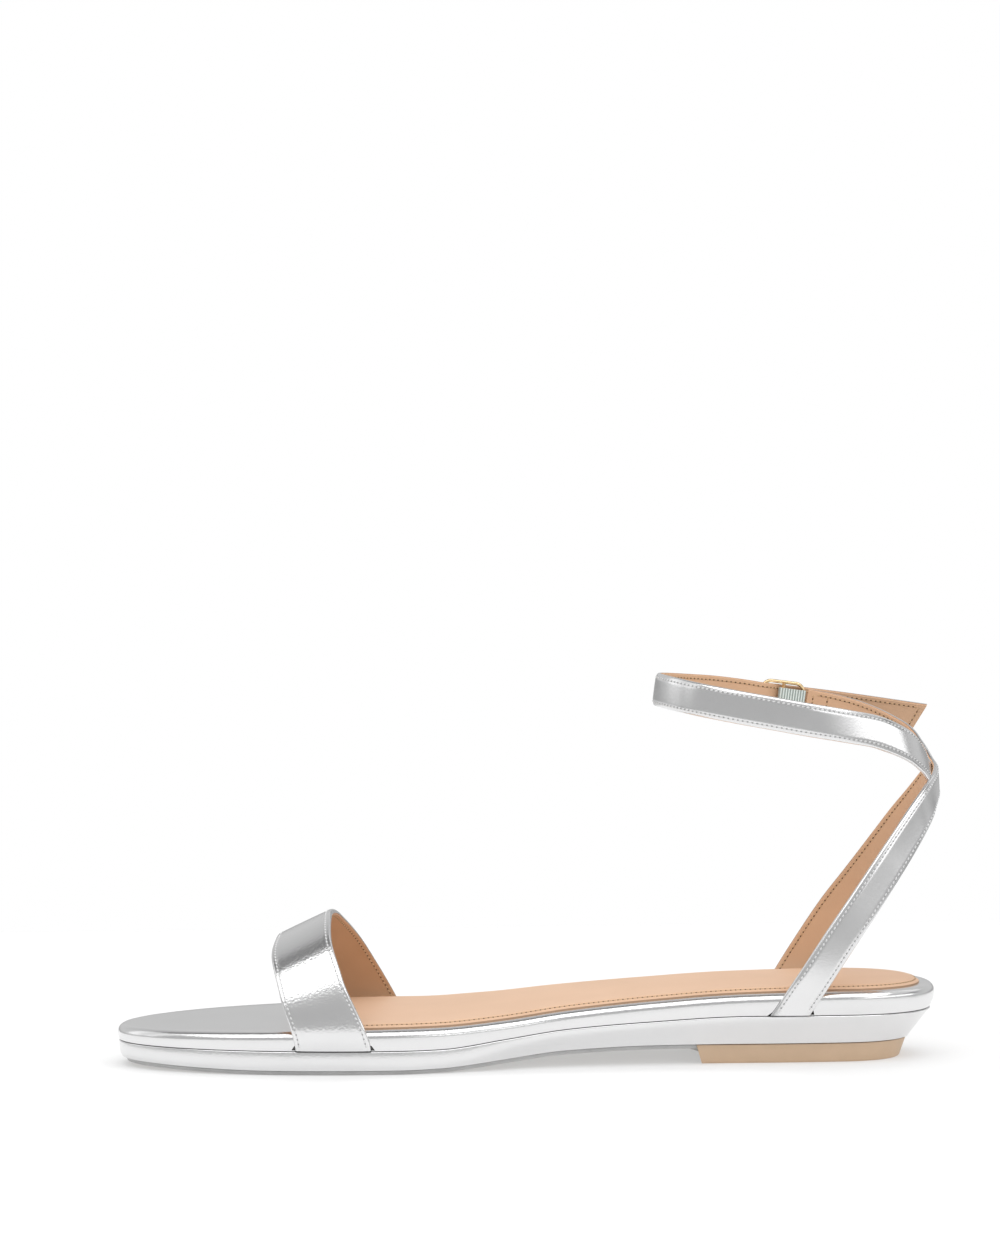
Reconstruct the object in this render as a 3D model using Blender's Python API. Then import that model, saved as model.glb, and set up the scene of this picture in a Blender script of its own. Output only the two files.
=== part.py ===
"""Flat sandal for the right foot: a toe strap, and an ankle strap that crosses behind the heel.

The sandal stands on the floor, z = 0, with its toe towards -X and its medial side towards -Y.
Shapes are worked out in shoe coordinates: u runs from the back of the heel to the toe, v from the
medial to the lateral side, z up. The toe tip and the back of the heel lie on v = 0.
"""

import math

import bmesh
import bpy
import numpy as np

MM = 0.001


def table(columns, *rows):
    """A table of sizes given in millimetres, as named columns in metres."""
    return {name: np.array(sizes) * MM for name, sizes in zip(columns.split(), zip(*rows))}


# Driving sizes
SOLE_LENGTH = 250 * MM
HEEL_CAP = 30 * MM
TOE_CAP = 80 * MM
HEEL_FULLNESS = 2.2
TOE_FULLNESS = 2.05
FIT_GAP = 0.3 * MM

# Half widths of the sole's edge, before the heel and toe are rounded off
OUTLINE = table(
    "from_heel medial lateral",
    (0, 27.5, 27.5),
    (40, 28.0, 28.5),
    (80, 26.5, 30.0),
    (115, 27.5, 34.0),
    (145, 32.5, 39.5),
    (170, 36.2, 41.0),
    (250, 36.5, 41.0),
)

# Side profile: underside of the lower sole, parting line of the two sole layers, and deck
PROFILE = table(
    "from_heel underside parting deck",
    (0, 6.2, 15.2, 22.5),
    (30, 6.2, 15.2, 22.4),
    (60, 6.2, 15.2, 21.8),
    (90, 6.1, 13.9, 19.9),
    (115, 5.2, 12.2, 17.6),
    (135, 3.3, 9.7, 15.2),
    (155, 1.6, 7.4, 13.8),
    (167, 1.4, 7.3, 13.7),
    (205, 1.4, 7.4, 13.2),
    (250, 2.6, 7.6, 12.3),
)

# Lower sole: height of its upright band, and how far its underside is drawn in below that
LOWER_SIDE = table(
    "from_heel band undercut",
    (0, 0.8, 6.6),
    (30, 1.2, 5.2),
    (90, 2.0, 4.5),
    (118, 2.2, 4.0),
    (130, 2.6, 3.0),
    (142, 3.8, 1.6),
    (155, 4.6, 0.7),
    (250, 4.0, 0.8),
)
LOWER_EDGE_ROUND = 0.5 * MM
LOWER_SLOPE_LEAST = 1.5 * MM
BAND_FOOT_UNDERCUT = 0.1

# Midsole: rounded top edge, the tuck of its side towards the parting line, its share halfway up
DECK_ROUND = 2.4 * MM
MIDSOLE_TUCK = table("from_heel tuck", (0, 1.2), (40, 0.8), (90, 0.4), (250, 0.4))
TUCK_HALFWAY = 0.2

# Insole, which ends in a slanting cut below the toe strap
INSOLE_INSET = 4.6 * MM
INSOLE_THICKNESS = 1.3 * MM
INSOLE_CROWN = 0.5 * MM
INSOLE_EDGE_ROUND = 0.5 * MM
INSOLE_FRONT = 188.5 * MM
INSOLE_FRONT_SLANT = 0.275

# Thin outsole leaf and the heel lift with its hollow breast
OUTSOLE_THICKNESS = 1.1 * MM
OUTSOLE_INSET = 1.6 * MM
OUTSOLE_EDGE_ROUND = 0.35 * MM
LIFT_STEP = 0.8 * MM
LIFT_TAPER = 1.8 * MM
LIFT_EDGE_ROUND = 0.5 * MM
BREAST_FROM_HEEL = 74.9 * MM
BREAST_RAKE = 0.18
BREAST_HOLLOW = 4.5 * MM
BREAST_HALF_WIDTH = 21 * MM

# Straps
TOE_STRAP_THICKNESS = 1.9 * MM
TOE_STRAP_WIDTH = 20.0 * MM
ANKLE_STRAP_THICKNESS = 1.7 * MM
ANKLE_STRAP_WIDTH = 10.0 * MM
STRAP_EDGE_ROUND = 0.5 * MM

# Forefoot that the toe strap lies on: its ridge, and the middle of the strap's wall above it
RIDGE_SIDE = -6 * MM
RIDGE_HEIGHT = 41.6 * MM
RIDGE_FROM_HEEL = 194 * MM
RIDGE_SLOPE = -0.47
MEDIAL_FULLNESS = 2.3
LATERAL_FULLNESS = 2.0
STRAP_PROUD = 1.2 * MM
STRAP_TUCK = 1.6 * MM
STRAP_TUCK_HEIGHT = 7 * MM
STRAP_FOOT = 0.7 * MM

# Toe strap's two edges, in equal steps around the forefoot from the medial to the lateral side
TOE_STRAP = table(
    "front back",
    (198.5, 176.0),
    (203.0, 184.2),
    (204.5, 187.0),
    (202.0, 185.6),
    (197.0, 180.6),
    (189.5, 171.0),
    (180.0, 158.5),
)

# Ankle that the ankle strap lies round: an oval seen from above, flatter in front further down
ANKLE_CENTRE = 43.5 * MM
ANKLE_HALF_LENGTH = 43.5 * MM
ANKLE_HALF_WIDTH = 28.5 * MM
ANKLE_LOW = 86 * MM
ANKLE_FLATTENING = 3
ANKLE_LEAN = 0.3
ANKLE_FRONT_LEAN = 0.13
ANKLE_LEAN_FROM = 82 * MM
ANKLE_LEAN_FULL = 90 * MM

# Middle of the medial strap: up from the sole, behind the heel, forward to the buckle
MEDIAL_STRAP = table(
    "from_heel side height",
    (53.4, -26.6, 8.0),
    (47.9, -27.6, 16.0),
    (42.0, -29.4, 25.2),
    (33.8, -29.2, 37.6),
    (25.2, -27.4, 49.7),
    (16.4, -24.0, 62.0),
    (8.0, -18.4, 73.4),
    (3.2, -12.4, 79.4),
    (-0.8, 0.0, 84.4),
    (0.4, 6.0, 87.6),
    (2.8, 11.0, 92.2),
    (5.6, 15.0, 95.6),
    (10.3, 19.3, 98.2),
    (17.5, 23.4, 101.2),
    (25.3, 26.6, 103.4),
    (35.2, 28.6, 105.3),
)

# Middle of the lateral strap: up from the sole, behind the heel, round the ankle, to its tip
LATERAL_STRAP = table(
    "from_heel side height",
    (48.6, 26.8, 8.0),
    (43.2, 27.9, 16.0),
    (36.9, 29.6, 25.6),
    (26.4, 28.2, 41.7),
    (19.4, 24.8, 51.6),
    (12.0, 19.8, 62.6),
    (7.1, 15.2, 70.4),
    (3.6, 10.5, 76.4),
    (1.3, 6.0, 81.6),
    (0.8, 0.0, 85.0),
    (2.9, -6.0, 87.9),
    (5.6, -12.0, 91.6),
    (10.4, -17.9, 95.9),
    (21.2, -24.5, 100.8),
    (30.5, -27.2, 102.8),
    (43.0, -28.4, 105.0),
    (54.0, -27.5, 107.0),
    (63.8, -25.1, 108.7),
    (75.2, -18.8, 110.7),
    (82.8, -9.4, 112.1),
    (85.4, 0.0, 112.5),
    (82.8, 9.4, 112.0),
    (75.2, 18.6, 111.0),
    (64.6, 24.9, 109.8),
    (54.4, 27.6, 108.3),
    (50.0, 28.3, 107.5),
    (47.9, 29.0, 107.2),
    (44.2, 31.9, 106.6),
    (42.2, 32.6, 106.3),
    (36.2, 32.6, 105.6),
    (21.0, 32.6, 103.7),
    (-2.6, 33.6, 100.4),
)
TIP_SLANT = 3.2 * MM

# Buckle at the lateral side of the ankle: a wire frame with a middle bar and a prong
BUCKLE_FROM_HEEL = 42.6 * MM
BUCKLE_SIDE = 30.5 * MM
BUCKLE_HEIGHT = 106.4 * MM
BUCKLE_SLOPE = math.radians(7.5)
BUCKLE_LENGTH = 14.0 * MM
BUCKLE_WIDTH = 12.8 * MM
BUCKLE_CORNER = 2.6 * MM
BUCKLE_WIRE = 0.55 * MM
BAR_DROP = 0.9 * MM
PRONG_WIRE = 0.5 * MM
PRONG_REACH = 8.0 * MM
PRONG_HOOK_FROM = math.radians(330)
PRONG_HOOK_TO = math.radians(90)

# Elastic that ties the buckle's bar to the end of the medial strap
ELASTIC_WIDTH = 8.2 * MM
ELASTIC_THICKNESS = 0.6 * MM
ELASTIC_TAIL_THICKNESS = 0.96 * MM
ELASTIC_LENGTH = 6.9 * MM
NOTCH_WIDTH = 2.0 * MM
NOTCH_BACK = 2.3 * MM
NOTCH_FRONT = 4.4 * MM
NOTCH_DEPTH = 8.7 * MM

# Cutters: blocks at the ends of sole pieces, and the straps' seats below the parting line
CUT_SPAN = 60 * MM
CUT_FAR = 300 * MM
SEAT_DROP = 4 * MM
SEAT_ROWS = 5

# Facets
RING_POINTS = 88
DECK_ROUND_STEPS = 4
INSOLE_COLUMNS = 6
TOE_STRAP_STATIONS = 37
STRAP_STEP = 2.5 * MM
CURVE_STEPS = 24
CORNER_POINTS = 5
HOOK_POINTS = 11
ELASTIC_TURNS = 16
END_POINTS = 25
WIRE_RESOLUTION = 2
WELD = 0.01 * MM
SMOOTH_ANGLE = math.radians(35)
NUDGE = 1e-4


def clear_scene():
    for item in list(bpy.data.objects):
        bpy.data.objects.remove(item)


def material(name, colour, roughness, metallic=0.0):
    made = bpy.data.materials.new(name)
    made.use_nodes = True
    shader = made.node_tree.nodes["Principled BSDF"]
    shader.inputs["Base Color"].default_value = (*colour, 1.0)
    shader.inputs["Roughness"].default_value = roughness
    shader.inputs["Metallic"].default_value = metallic
    return made


# Curves and forms


def smooth(places, sizes, at):
    """Monotone cubic through a table's column: equal rows give a flat stretch."""
    step = np.diff(places)
    secant = np.diff(sizes) / step
    slope = np.zeros(len(sizes))
    slope[0], slope[-1] = secant[0], secant[-1]
    for i in range(1, len(secant)):
        if secant[i - 1] * secant[i] > 0:
            slope[i] = 2 / (1 / secant[i - 1] + 1 / secant[i])
    at = np.clip(at, places[0], places[-1])
    i = np.clip(np.searchsorted(places, at, side="right") - 1, 0, len(step) - 1)
    t = (at - places[i]) / step[i]
    start = (1 + 2 * t) * (1 - t) ** 2 * sizes[i] + t * (1 - t) ** 2 * step[i] * slope[i]
    end = t**2 * (3 - 2 * t) * sizes[i + 1] - t**2 * (1 - t) * step[i] * slope[i + 1]
    return start + end


def along(rows, column, u):
    return smooth(rows["from_heel"], rows[column], np.asarray(u, float))


def round_end(share, fullness):
    """Rises from 0 to 1 as a quarter of a superellipse."""
    return (1 - (1 - np.clip(share, 0, 1)) ** fullness) ** (1 / fullness)


def half_width(u, side):
    ends = round_end(u / HEEL_CAP, HEEL_FULLNESS)
    ends = ends * round_end((SOLE_LENGTH - u) / TOE_CAP, TOE_FULLNESS)
    return along(OUTLINE, side, u) * ends


def outline(inset):
    """Ring (u, v) of the sole's edge from the toe round the lateral side, drawn in by inset(u)."""
    turn = np.linspace(0, 2 * np.pi, RING_POINTS, endpoint=False)
    u = SOLE_LENGTH * (1 + np.cos(turn)) / 2
    v = np.where(turn <= np.pi, half_width(u, "lateral"), -half_width(u, "medial"))
    du = np.roll(u, -1) - np.roll(u, 1)
    dv = np.roll(v, -1) - np.roll(v, 1)
    length = np.hypot(du, dv)
    depth = inset(u)
    return u - depth * dv / length, v + depth * du / length


def ring(inset, height):
    """Outline drawn in by inset(u), at height(u), as points in space."""
    u, v = outline(inset)
    return np.stack([-u, v, height(u)], axis=1)


def fixed(size):
    return lambda u: np.full(np.shape(u), size)


def forefoot(u, around):
    """Middle of the toe strap's wall: an arch over the forefoot, around from 0 to pi."""
    base = along(PROFILE, "parting", u) + STRAP_FOOT
    rise = RIDGE_HEIGHT + RIDGE_SLOPE * (u - RIDGE_FROM_HEEL) - base
    medial = np.cos(around) > 0
    fullness = np.where(medial, MEDIAL_FULLNESS, LATERAL_FULLNESS)
    edge = np.where(medial, -half_width(u, "medial"), half_width(u, "lateral"))
    edge = edge + np.sign(edge) * STRAP_PROUD
    up = rise * np.sin(around) ** (2 / fullness)
    tuck = STRAP_TUCK * np.clip(1 - up / STRAP_TUCK_HEIGHT, 0, 1) ** 2
    v = RIDGE_SIDE + (edge - RIDGE_SIDE) * np.abs(np.cos(around)) ** (2 / fullness)
    return np.stack([-u, v - np.sign(edge) * tuck, base + up], axis=-1)


def toe_strap_point(share, across, out):
    """Point of the toe strap: share from medial to lateral, across from back -1 to front 1."""
    shares = np.linspace(0, 1, len(TOE_STRAP["front"]))

    def wall(s, c):
        front = smooth(shares, TOE_STRAP["front"], np.asarray(s))
        back = smooth(shares, TOE_STRAP["back"], np.asarray(s))
        return forefoot((front + back) / 2 + c * (front - back) / 2, np.pi * s)

    low, high = max(share - NUDGE, 0.0), min(share + NUDGE, 1.0)
    run = wall(high, across) - wall(low, across)
    reach = wall(share, across + NUDGE) - wall(share, across - NUDGE)
    outward = np.cross(reach, run)
    return wall(share, across) + out * outward / np.linalg.norm(outward)


def spline(rows):
    """Even steps along a smooth curve through a table's points."""
    knots = np.stack([-rows["from_heel"], rows["side"], rows["height"]], axis=1)
    ends = [2 * knots[0] - knots[1], *knots, 2 * knots[-1] - knots[-2]]
    fine = []
    for a, b, c, d in zip(ends, ends[1:], ends[2:], ends[3:]):
        before, span, after = (math.sqrt(np.linalg.norm(q - p)) for p, q in ((a, b), (b, c), (c, d)))
        leave = (b - a) / before - (c - a) / (before + span) + (c - b) / span
        arrive = (c - b) / span - (d - b) / (span + after) + (d - c) / after
        t = np.linspace(0, 1, CURVE_STEPS, endpoint=False)[:, None]
        line = (1 + 2 * t) * (1 - t) ** 2 * b + t**2 * (3 - 2 * t) * c
        fine.append(line + span * (t * (1 - t) ** 2 * leave - t**2 * (1 - t) * arrive))
    fine = np.concatenate([*fine, knots[-1:]])
    walked = np.concatenate([[0], np.cumsum(np.linalg.norm(np.diff(fine, axis=0), axis=1))])
    places = np.linspace(0, walked[-1], round(walked[-1] / STRAP_STEP) + 1)
    return np.stack([np.interp(places, walked, fine[:, i]) for i in range(3)], axis=1)


def ribbon_frames(points):
    """Run, outward and across directions of a strap round the ankle, which leans in at the back."""
    run = np.gradient(points, axis=0)
    run /= np.linalg.norm(run, axis=1)[:, None]
    outward = np.zeros_like(points)
    flatter = np.clip(points[:, 2] / ANKLE_LOW, 0, 1) ** ANKLE_FLATTENING
    outward[:, 0] = flatter * (points[:, 0] + ANKLE_CENTRE) / ANKLE_HALF_LENGTH**2
    outward[:, 1] = points[:, 1] / ANKLE_HALF_WIDTH**2
    lean = np.interp(points[:, 2], (ANKLE_LEAN_FROM, ANKLE_LEAN_FULL), (0, ANKLE_LEAN))
    outward[:, 2] = lean * np.clip(outward[:, 0], 0, None)
    outward[:, 2] += ANKLE_FRONT_LEAN * np.clip(-outward[:, 0], 0, None)
    outward -= run * np.sum(outward * run, axis=1)[:, None]
    outward /= np.linalg.norm(outward, axis=1)[:, None]
    across = np.cross(run, outward)
    return run, outward, across


# Meshes


def add_object(name, bm, finish, collection):
    bmesh.ops.recalc_face_normals(bm, faces=bm.faces)
    mesh = bpy.data.meshes.new(name)
    bm.to_mesh(mesh)
    bm.free()
    made = bpy.data.objects.new(name, mesh)
    collection.objects.link(made)
    if finish:
        mesh.materials.append(finish)
    mesh.shade_smooth()
    mesh.set_sharp_from_angle(angle=SMOOTH_ANGLE)
    return made


def skin(bm, rings, closed=False):
    """Faces between rings of equal counts. Returns the rings' vertices."""
    loops = [[bm.verts.new(point) for point in points] for points in rings]
    pairs = list(zip(loops, loops[1:]))
    if closed:
        pairs.append((loops[-1], loops[0]))
    for low, high in pairs:
        for i in range(len(low)):
            j = (i + 1) % len(low)
            bm.faces.new((low[i], low[j], high[j], high[i]))
    return loops


def close_across(bm, loop, crown=0.0, columns=1):
    """Closes a sole-shaped loop with strips from side to side, raised in the middle by crown."""
    half = len(loop) // 2
    rows = [[loop[0]]]
    for i in range(1, half):
        left, right = loop[i], loop[-i]
        row = [left]
        for k in range(1, columns):
            share = k / columns
            point = left.co.lerp(right.co, share)
            point.z += crown * math.sin(math.pi * share) * math.sin(math.pi * i / half) ** 0.5
            row.append(bm.verts.new(point))
        rows.append([*row, right])
    rows.append([loop[half]])
    for near, far in zip(rows, rows[1:]):
        if len(near) == 1 or len(far) == 1:
            tip, row = (near, far) if len(near) == 1 else (far, near)
            for a, b in zip(row, row[1:]):
                bm.faces.new((tip[0], a, b))
        else:
            for k in range(columns):
                bm.faces.new((near[k], near[k + 1], far[k + 1], far[k]))


def sole_layer(name, rings, finish, collection, crown=0.0, columns=1):
    """Closed solid through rings from the bottom to the top."""
    bm = bmesh.new()
    loops = skin(bm, rings)
    close_across(bm, loops[0])
    close_across(bm, loops[-1], crown, columns)
    return add_object(name, bm, finish, collection)


def strap_section(thickness, width):
    """Rounded cross-section of a strap as (across from -1 to 1, outward distance) pairs."""
    face = 1 - 2 * STRAP_EDGE_ROUND / width
    flank = thickness / 2 - STRAP_EDGE_ROUND
    outer = [(-face, thickness / 2), (0.0, thickness / 2), (face, thickness / 2)]
    inner = [(c, -h) for c, h in reversed(outer)]
    return [*outer, (1.0, flank), (1.0, -flank), *inner, (-1.0, -flank), (-1.0, flank)]


def strap_solid(name, rings, finish, collection):
    bm = bmesh.new()
    loops = skin(bm, rings)
    bm.faces.new(loops[0])
    bm.faces.new(loops[-1])
    return add_object(name, bm, finish, collection)


def toe_strap_rings(grow=0.0):
    """Rings of the toe strap, or of the clearance round it, grown by a gap."""
    section = strap_section(TOE_STRAP_THICKNESS + 2 * grow, TOE_STRAP_WIDTH + 2 * grow)
    wider = 1 + 2 * grow / TOE_STRAP_WIDTH
    rings = [
        np.array([toe_strap_point(share, across * wider, out) for across, out in section])
        for share in np.linspace(0, 1, TOE_STRAP_STATIONS)
    ]
    if grow:
        below = np.array([0.0, 0.0, SEAT_DROP])
        rings = [rings[0] - below, *rings, rings[-1] - below]
    return rings


def ankle_strap_rings(rows, grow=0.0, tip_slant=0.0):
    """Rings of one ankle strap. A slanting tip moves its last ring's edges along the strap."""
    points = spline(rows)
    run, outward, across = ribbon_frames(points)
    half = ANKLE_STRAP_WIDTH / 2 + grow
    section = strap_section(ANKLE_STRAP_THICKNESS + 2 * grow, 2 * half)
    rings = []
    for i, point in enumerate(points):
        lean = tip_slant if i == len(points) - 1 else 0.0
        rings.append([
            point + across[i] * c * half + outward[i] * out - run[i] * lean * (1 - c) / 2
            for c, out in section
        ])
    return rings


def cutter(target, tool, operation="DIFFERENCE"):
    tool.hide_render = True
    tool.display_type = "WIRE"
    change = target.modifiers.new(tool.name, "BOOLEAN")
    change.object = tool
    change.operation = operation
    change.solver = "EXACT"


def cut_below(target, height):
    """Cuts a strap level above the parting line and closes the cut."""
    bm = bmesh.new()
    bm.from_mesh(target.data)
    everything = [*bm.verts, *bm.edges, *bm.faces]
    cut = bmesh.ops.bisect_plane(
        bm, geom=everything, plane_co=(0, 0, height), plane_no=(0, 0, 1), clear_inner=True
    )
    rim = [item for item in cut["geom_cut"] if isinstance(item, bmesh.types.BMEdge)]
    bmesh.ops.edgeloop_fill(bm, edges=rim)
    bmesh.ops.recalc_face_normals(bm, faces=bm.faces)
    bm.to_mesh(target.data)
    bm.free()


def wire_mesh(name, points, radius, closed, collection, finish):
    """Round wire along points, as a mesh with its ends closed."""
    curve = bpy.data.curves.new(name + "_line", "CURVE")
    curve.dimensions = "3D"
    curve.bevel_depth = radius
    curve.bevel_resolution = WIRE_RESOLUTION
    curve.use_fill_caps = not closed
    line = curve.splines.new("POLY")
    line.points.add(len(points) - 1)
    line.use_cyclic_u = closed
    for knot, point in zip(line.points, points):
        knot.co = (*point, 1.0)
    guide = bpy.data.objects.new(name + "_line", curve)
    collection.objects.link(guide)
    bpy.context.view_layer.update()
    evaluated = guide.evaluated_get(bpy.context.evaluated_depsgraph_get())
    mesh = bpy.data.meshes.new_from_object(evaluated)
    bm = bmesh.new()
    bm.from_mesh(mesh)
    bmesh.ops.remove_doubles(bm, verts=bm.verts, dist=WELD)
    bpy.data.objects.remove(guide)
    return add_object(name, bm, finish, collection)


# Pieces of the sole


def lower_sole(finish, collection):
    def underside(u):
        return along(PROFILE, "underside", u)

    def top(u):
        return along(PROFILE, "parting", u) - FIT_GAP / 2

    def undercut(u):
        return along(LOWER_SIDE, "undercut", u)

    def band_foot(u):
        tallest = top(u) - underside(u) - LOWER_SLOPE_LEAST
        return top(u) - np.minimum(along(LOWER_SIDE, "band", u), tallest)

    def tuck(u):
        return along(MIDSOLE_TUCK, "tuck", u)

    edge = LOWER_EDGE_ROUND
    rings = [
        ring(lambda u: tuck(u) + undercut(u) + edge, underside),
        ring(lambda u: tuck(u) + undercut(u), lambda u: underside(u) + edge),
        ring(lambda u: tuck(u) + BAND_FOOT_UNDERCUT * undercut(u), band_foot),
        ring(tuck, lambda u: top(u) - edge),
        ring(lambda u: tuck(u) + edge, top),
    ]
    return sole_layer("lower_sole", rings, finish, collection)


def midsole(finish, collection):
    def base(u):
        return along(PROFILE, "parting", u) + FIT_GAP / 2

    def deck(u):
        return along(PROFILE, "deck", u)

    def tuck(u):
        return along(MIDSOLE_TUCK, "tuck", u)

    edge = LOWER_EDGE_ROUND
    rings = [
        ring(lambda u: tuck(u) + edge, base),
        ring(tuck, lambda u: base(u) + edge),
        ring(lambda u: TUCK_HALFWAY * tuck(u), lambda u: (base(u) + deck(u) - DECK_ROUND) / 2),
    ]
    for turn in np.linspace(0, np.pi / 2, DECK_ROUND_STEPS):
        inset = fixed(DECK_ROUND * (1 - math.cos(turn)))
        rings.append(ring(inset, lambda u, t=turn: deck(u) - DECK_ROUND * (1 - math.sin(t))))
    return sole_layer("midsole", rings, finish, collection)


def end_block(name, end, far, tools):
    """Block that cuts a sole piece off across: from the line end(v, z) to far along the sole."""
    sides = np.linspace(-CUT_SPAN, CUT_SPAN, END_POINTS)
    rings = []
    for height in (-CUT_SPAN, CUT_SPAN):
        line = [(-end(side, height), side, height) for side in sides]
        rings.append([*line, (-far, CUT_SPAN, height), (-far, -CUT_SPAN, height)])
    bm = bmesh.new()
    for loop in skin(bm, rings):
        bm.faces.new(loop)
    return add_object(name, bm, None, tools)


def breast(v, z):
    """Distance of the heel lift's hollow front face from the back of the heel."""
    hollow = BREAST_HOLLOW * (1 - min(abs(v) / BREAST_HALF_WIDTH, 1) ** 2)
    return BREAST_FROM_HEEL + BREAST_RAKE * z - hollow


def insole_front(v, _):
    """Distance of the insole's slanting front edge from the back of the heel."""
    return INSOLE_FRONT - INSOLE_FRONT_SLANT * v


def insole(finish, collection, tools):
    def level(lift):
        return lambda u: along(PROFILE, "deck", u) + FIT_GAP + lift

    edge = INSOLE_EDGE_ROUND
    rings = [
        ring(fixed(INSOLE_INSET), level(0.0)),
        ring(fixed(INSOLE_INSET), level(INSOLE_THICKNESS - edge)),
        ring(fixed(INSOLE_INSET + edge), level(INSOLE_THICKNESS)),
    ]
    sheet = sole_layer("insole", rings, finish, collection, INSOLE_CROWN, INSOLE_COLUMNS)
    cutter(sheet, end_block("insole_front", insole_front, CUT_FAR, tools))
    return sheet


def sole_inset(u):
    """How far the lower sole's underside is set in from the sole's outline."""
    return along(LOWER_SIDE, "undercut", u) + along(MIDSOLE_TUCK, "tuck", u)


def outsole(finish, collection, tools):
    def level(drop):
        return lambda u: along(PROFILE, "underside", u) - FIT_GAP - drop

    edge = OUTSOLE_EDGE_ROUND
    rings = [
        ring(lambda u: sole_inset(u) + OUTSOLE_INSET + edge, level(OUTSOLE_THICKNESS)),
        ring(lambda u: sole_inset(u) + OUTSOLE_INSET, level(OUTSOLE_THICKNESS - edge)),
        ring(lambda u: sole_inset(u) + OUTSOLE_INSET, level(0.0)),
    ]
    leaf = sole_layer("outsole", rings, finish, collection)
    back = end_block("outsole_back", lambda v, z: breast(v, z) + FIT_GAP, -CUT_FAR, tools)
    cutter(leaf, back)
    return leaf


def heel_lift(finish, collection, tools):
    edge = LIFT_EDGE_ROUND
    top = along(PROFILE, "underside", 0.0) - FIT_GAP
    rings = [
        ring(lambda u: sole_inset(u) + LIFT_STEP + LIFT_TAPER + edge, fixed(0.0)),
        ring(lambda u: sole_inset(u) + LIFT_STEP + LIFT_TAPER, fixed(edge)),
        ring(lambda u: sole_inset(u) + LIFT_STEP, fixed(top)),
    ]
    lift = sole_layer("heel_lift", rings, finish, collection)
    cutter(lift, end_block("lift_front", breast, CUT_FAR, tools))
    return lift


# Straps and buckle


def toe_strap(finish, collection):
    return strap_solid("toe_strap", toe_strap_rings(), finish, collection)


def ankle_strap(finish, collection, tools):
    """Both ankle straps, joined where they cross behind the heel."""
    foot = along(PROFILE, "parting", MEDIAL_STRAP["from_heel"][1]) + FIT_GAP
    medial = strap_solid("ankle_strap", ankle_strap_rings(MEDIAL_STRAP), finish, collection)
    lateral_rings = ankle_strap_rings(LATERAL_STRAP, tip_slant=TIP_SLANT)
    lateral = strap_solid("lateral_strap", lateral_rings, finish, tools)
    for strap in (medial, lateral):
        cut_below(strap, foot)
    cutter(medial, lateral, "UNION")
    return medial


def strap_clearances(tools):
    """Grown copies of the straps, which cut their seats into the midsole's side."""
    toe = strap_solid("toe_strap_seat", toe_strap_rings(FIT_GAP), None, tools)
    seats = [toe]
    for name, rows in (("medial_seat", MEDIAL_STRAP), ("lateral_seat", LATERAL_STRAP)):
        low = {column: sizes[:SEAT_ROWS] for column, sizes in rows.items()}
        seats.append(strap_solid(name, ankle_strap_rings(low, FIT_GAP), None, tools))
    return seats


def buckle_place(forward, up, out):
    """Point near the buckle: forward along the strap, up across it, out from the ankle."""
    ahead = forward * math.cos(BUCKLE_SLOPE) - up * math.sin(BUCKLE_SLOPE)
    height = forward * math.sin(BUCKLE_SLOPE) + up * math.cos(BUCKLE_SLOPE)
    return (-BUCKLE_FROM_HEEL - ahead, BUCKLE_SIDE + out, BUCKLE_HEIGHT + height)


def buckle_frame(finish, collection, tools):
    corner_turns = np.linspace(0, np.pi / 2, CORNER_POINTS)
    reach = BUCKLE_LENGTH / 2 - BUCKLE_WIRE - BUCKLE_CORNER
    rise = BUCKLE_WIDTH / 2 - BUCKLE_WIRE - BUCKLE_CORNER
    line = []
    for quarter, (side, top) in enumerate(((1, 1), (-1, 1), (-1, -1), (1, -1))):
        for turn in corner_turns + quarter * np.pi / 2:
            forward = side * reach + BUCKLE_CORNER * math.cos(turn)
            up = top * rise + BUCKLE_CORNER * math.sin(turn)
            line.append(buckle_place(forward, up, 0.0))
    frame = wire_mesh("buckle_frame", line, BUCKLE_WIRE, True, collection, finish)
    half_bar = BUCKLE_WIDTH / 2 - BUCKLE_WIRE
    ends = [buckle_place(0.0, side * half_bar, -BAR_DROP) for side in (-1, 1)]
    bar = wire_mesh("buckle_bar", ends, BUCKLE_WIRE, False, tools, finish)
    cutter(frame, bar, "UNION")
    return frame


def prong_line():
    """Hooked round the middle bar, through the strap, onto the frame's front end."""
    hook = BUCKLE_WIRE + PRONG_WIRE + FIT_GAP
    line = []
    for turn in np.linspace(PRONG_HOOK_FROM, PRONG_HOOK_TO, HOOK_POINTS):
        line.append(buckle_place(hook * math.cos(turn), 0.0, hook * math.sin(turn) - BAR_DROP))
    line.append(buckle_place(PRONG_REACH, 0.0, hook))
    return line


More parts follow.
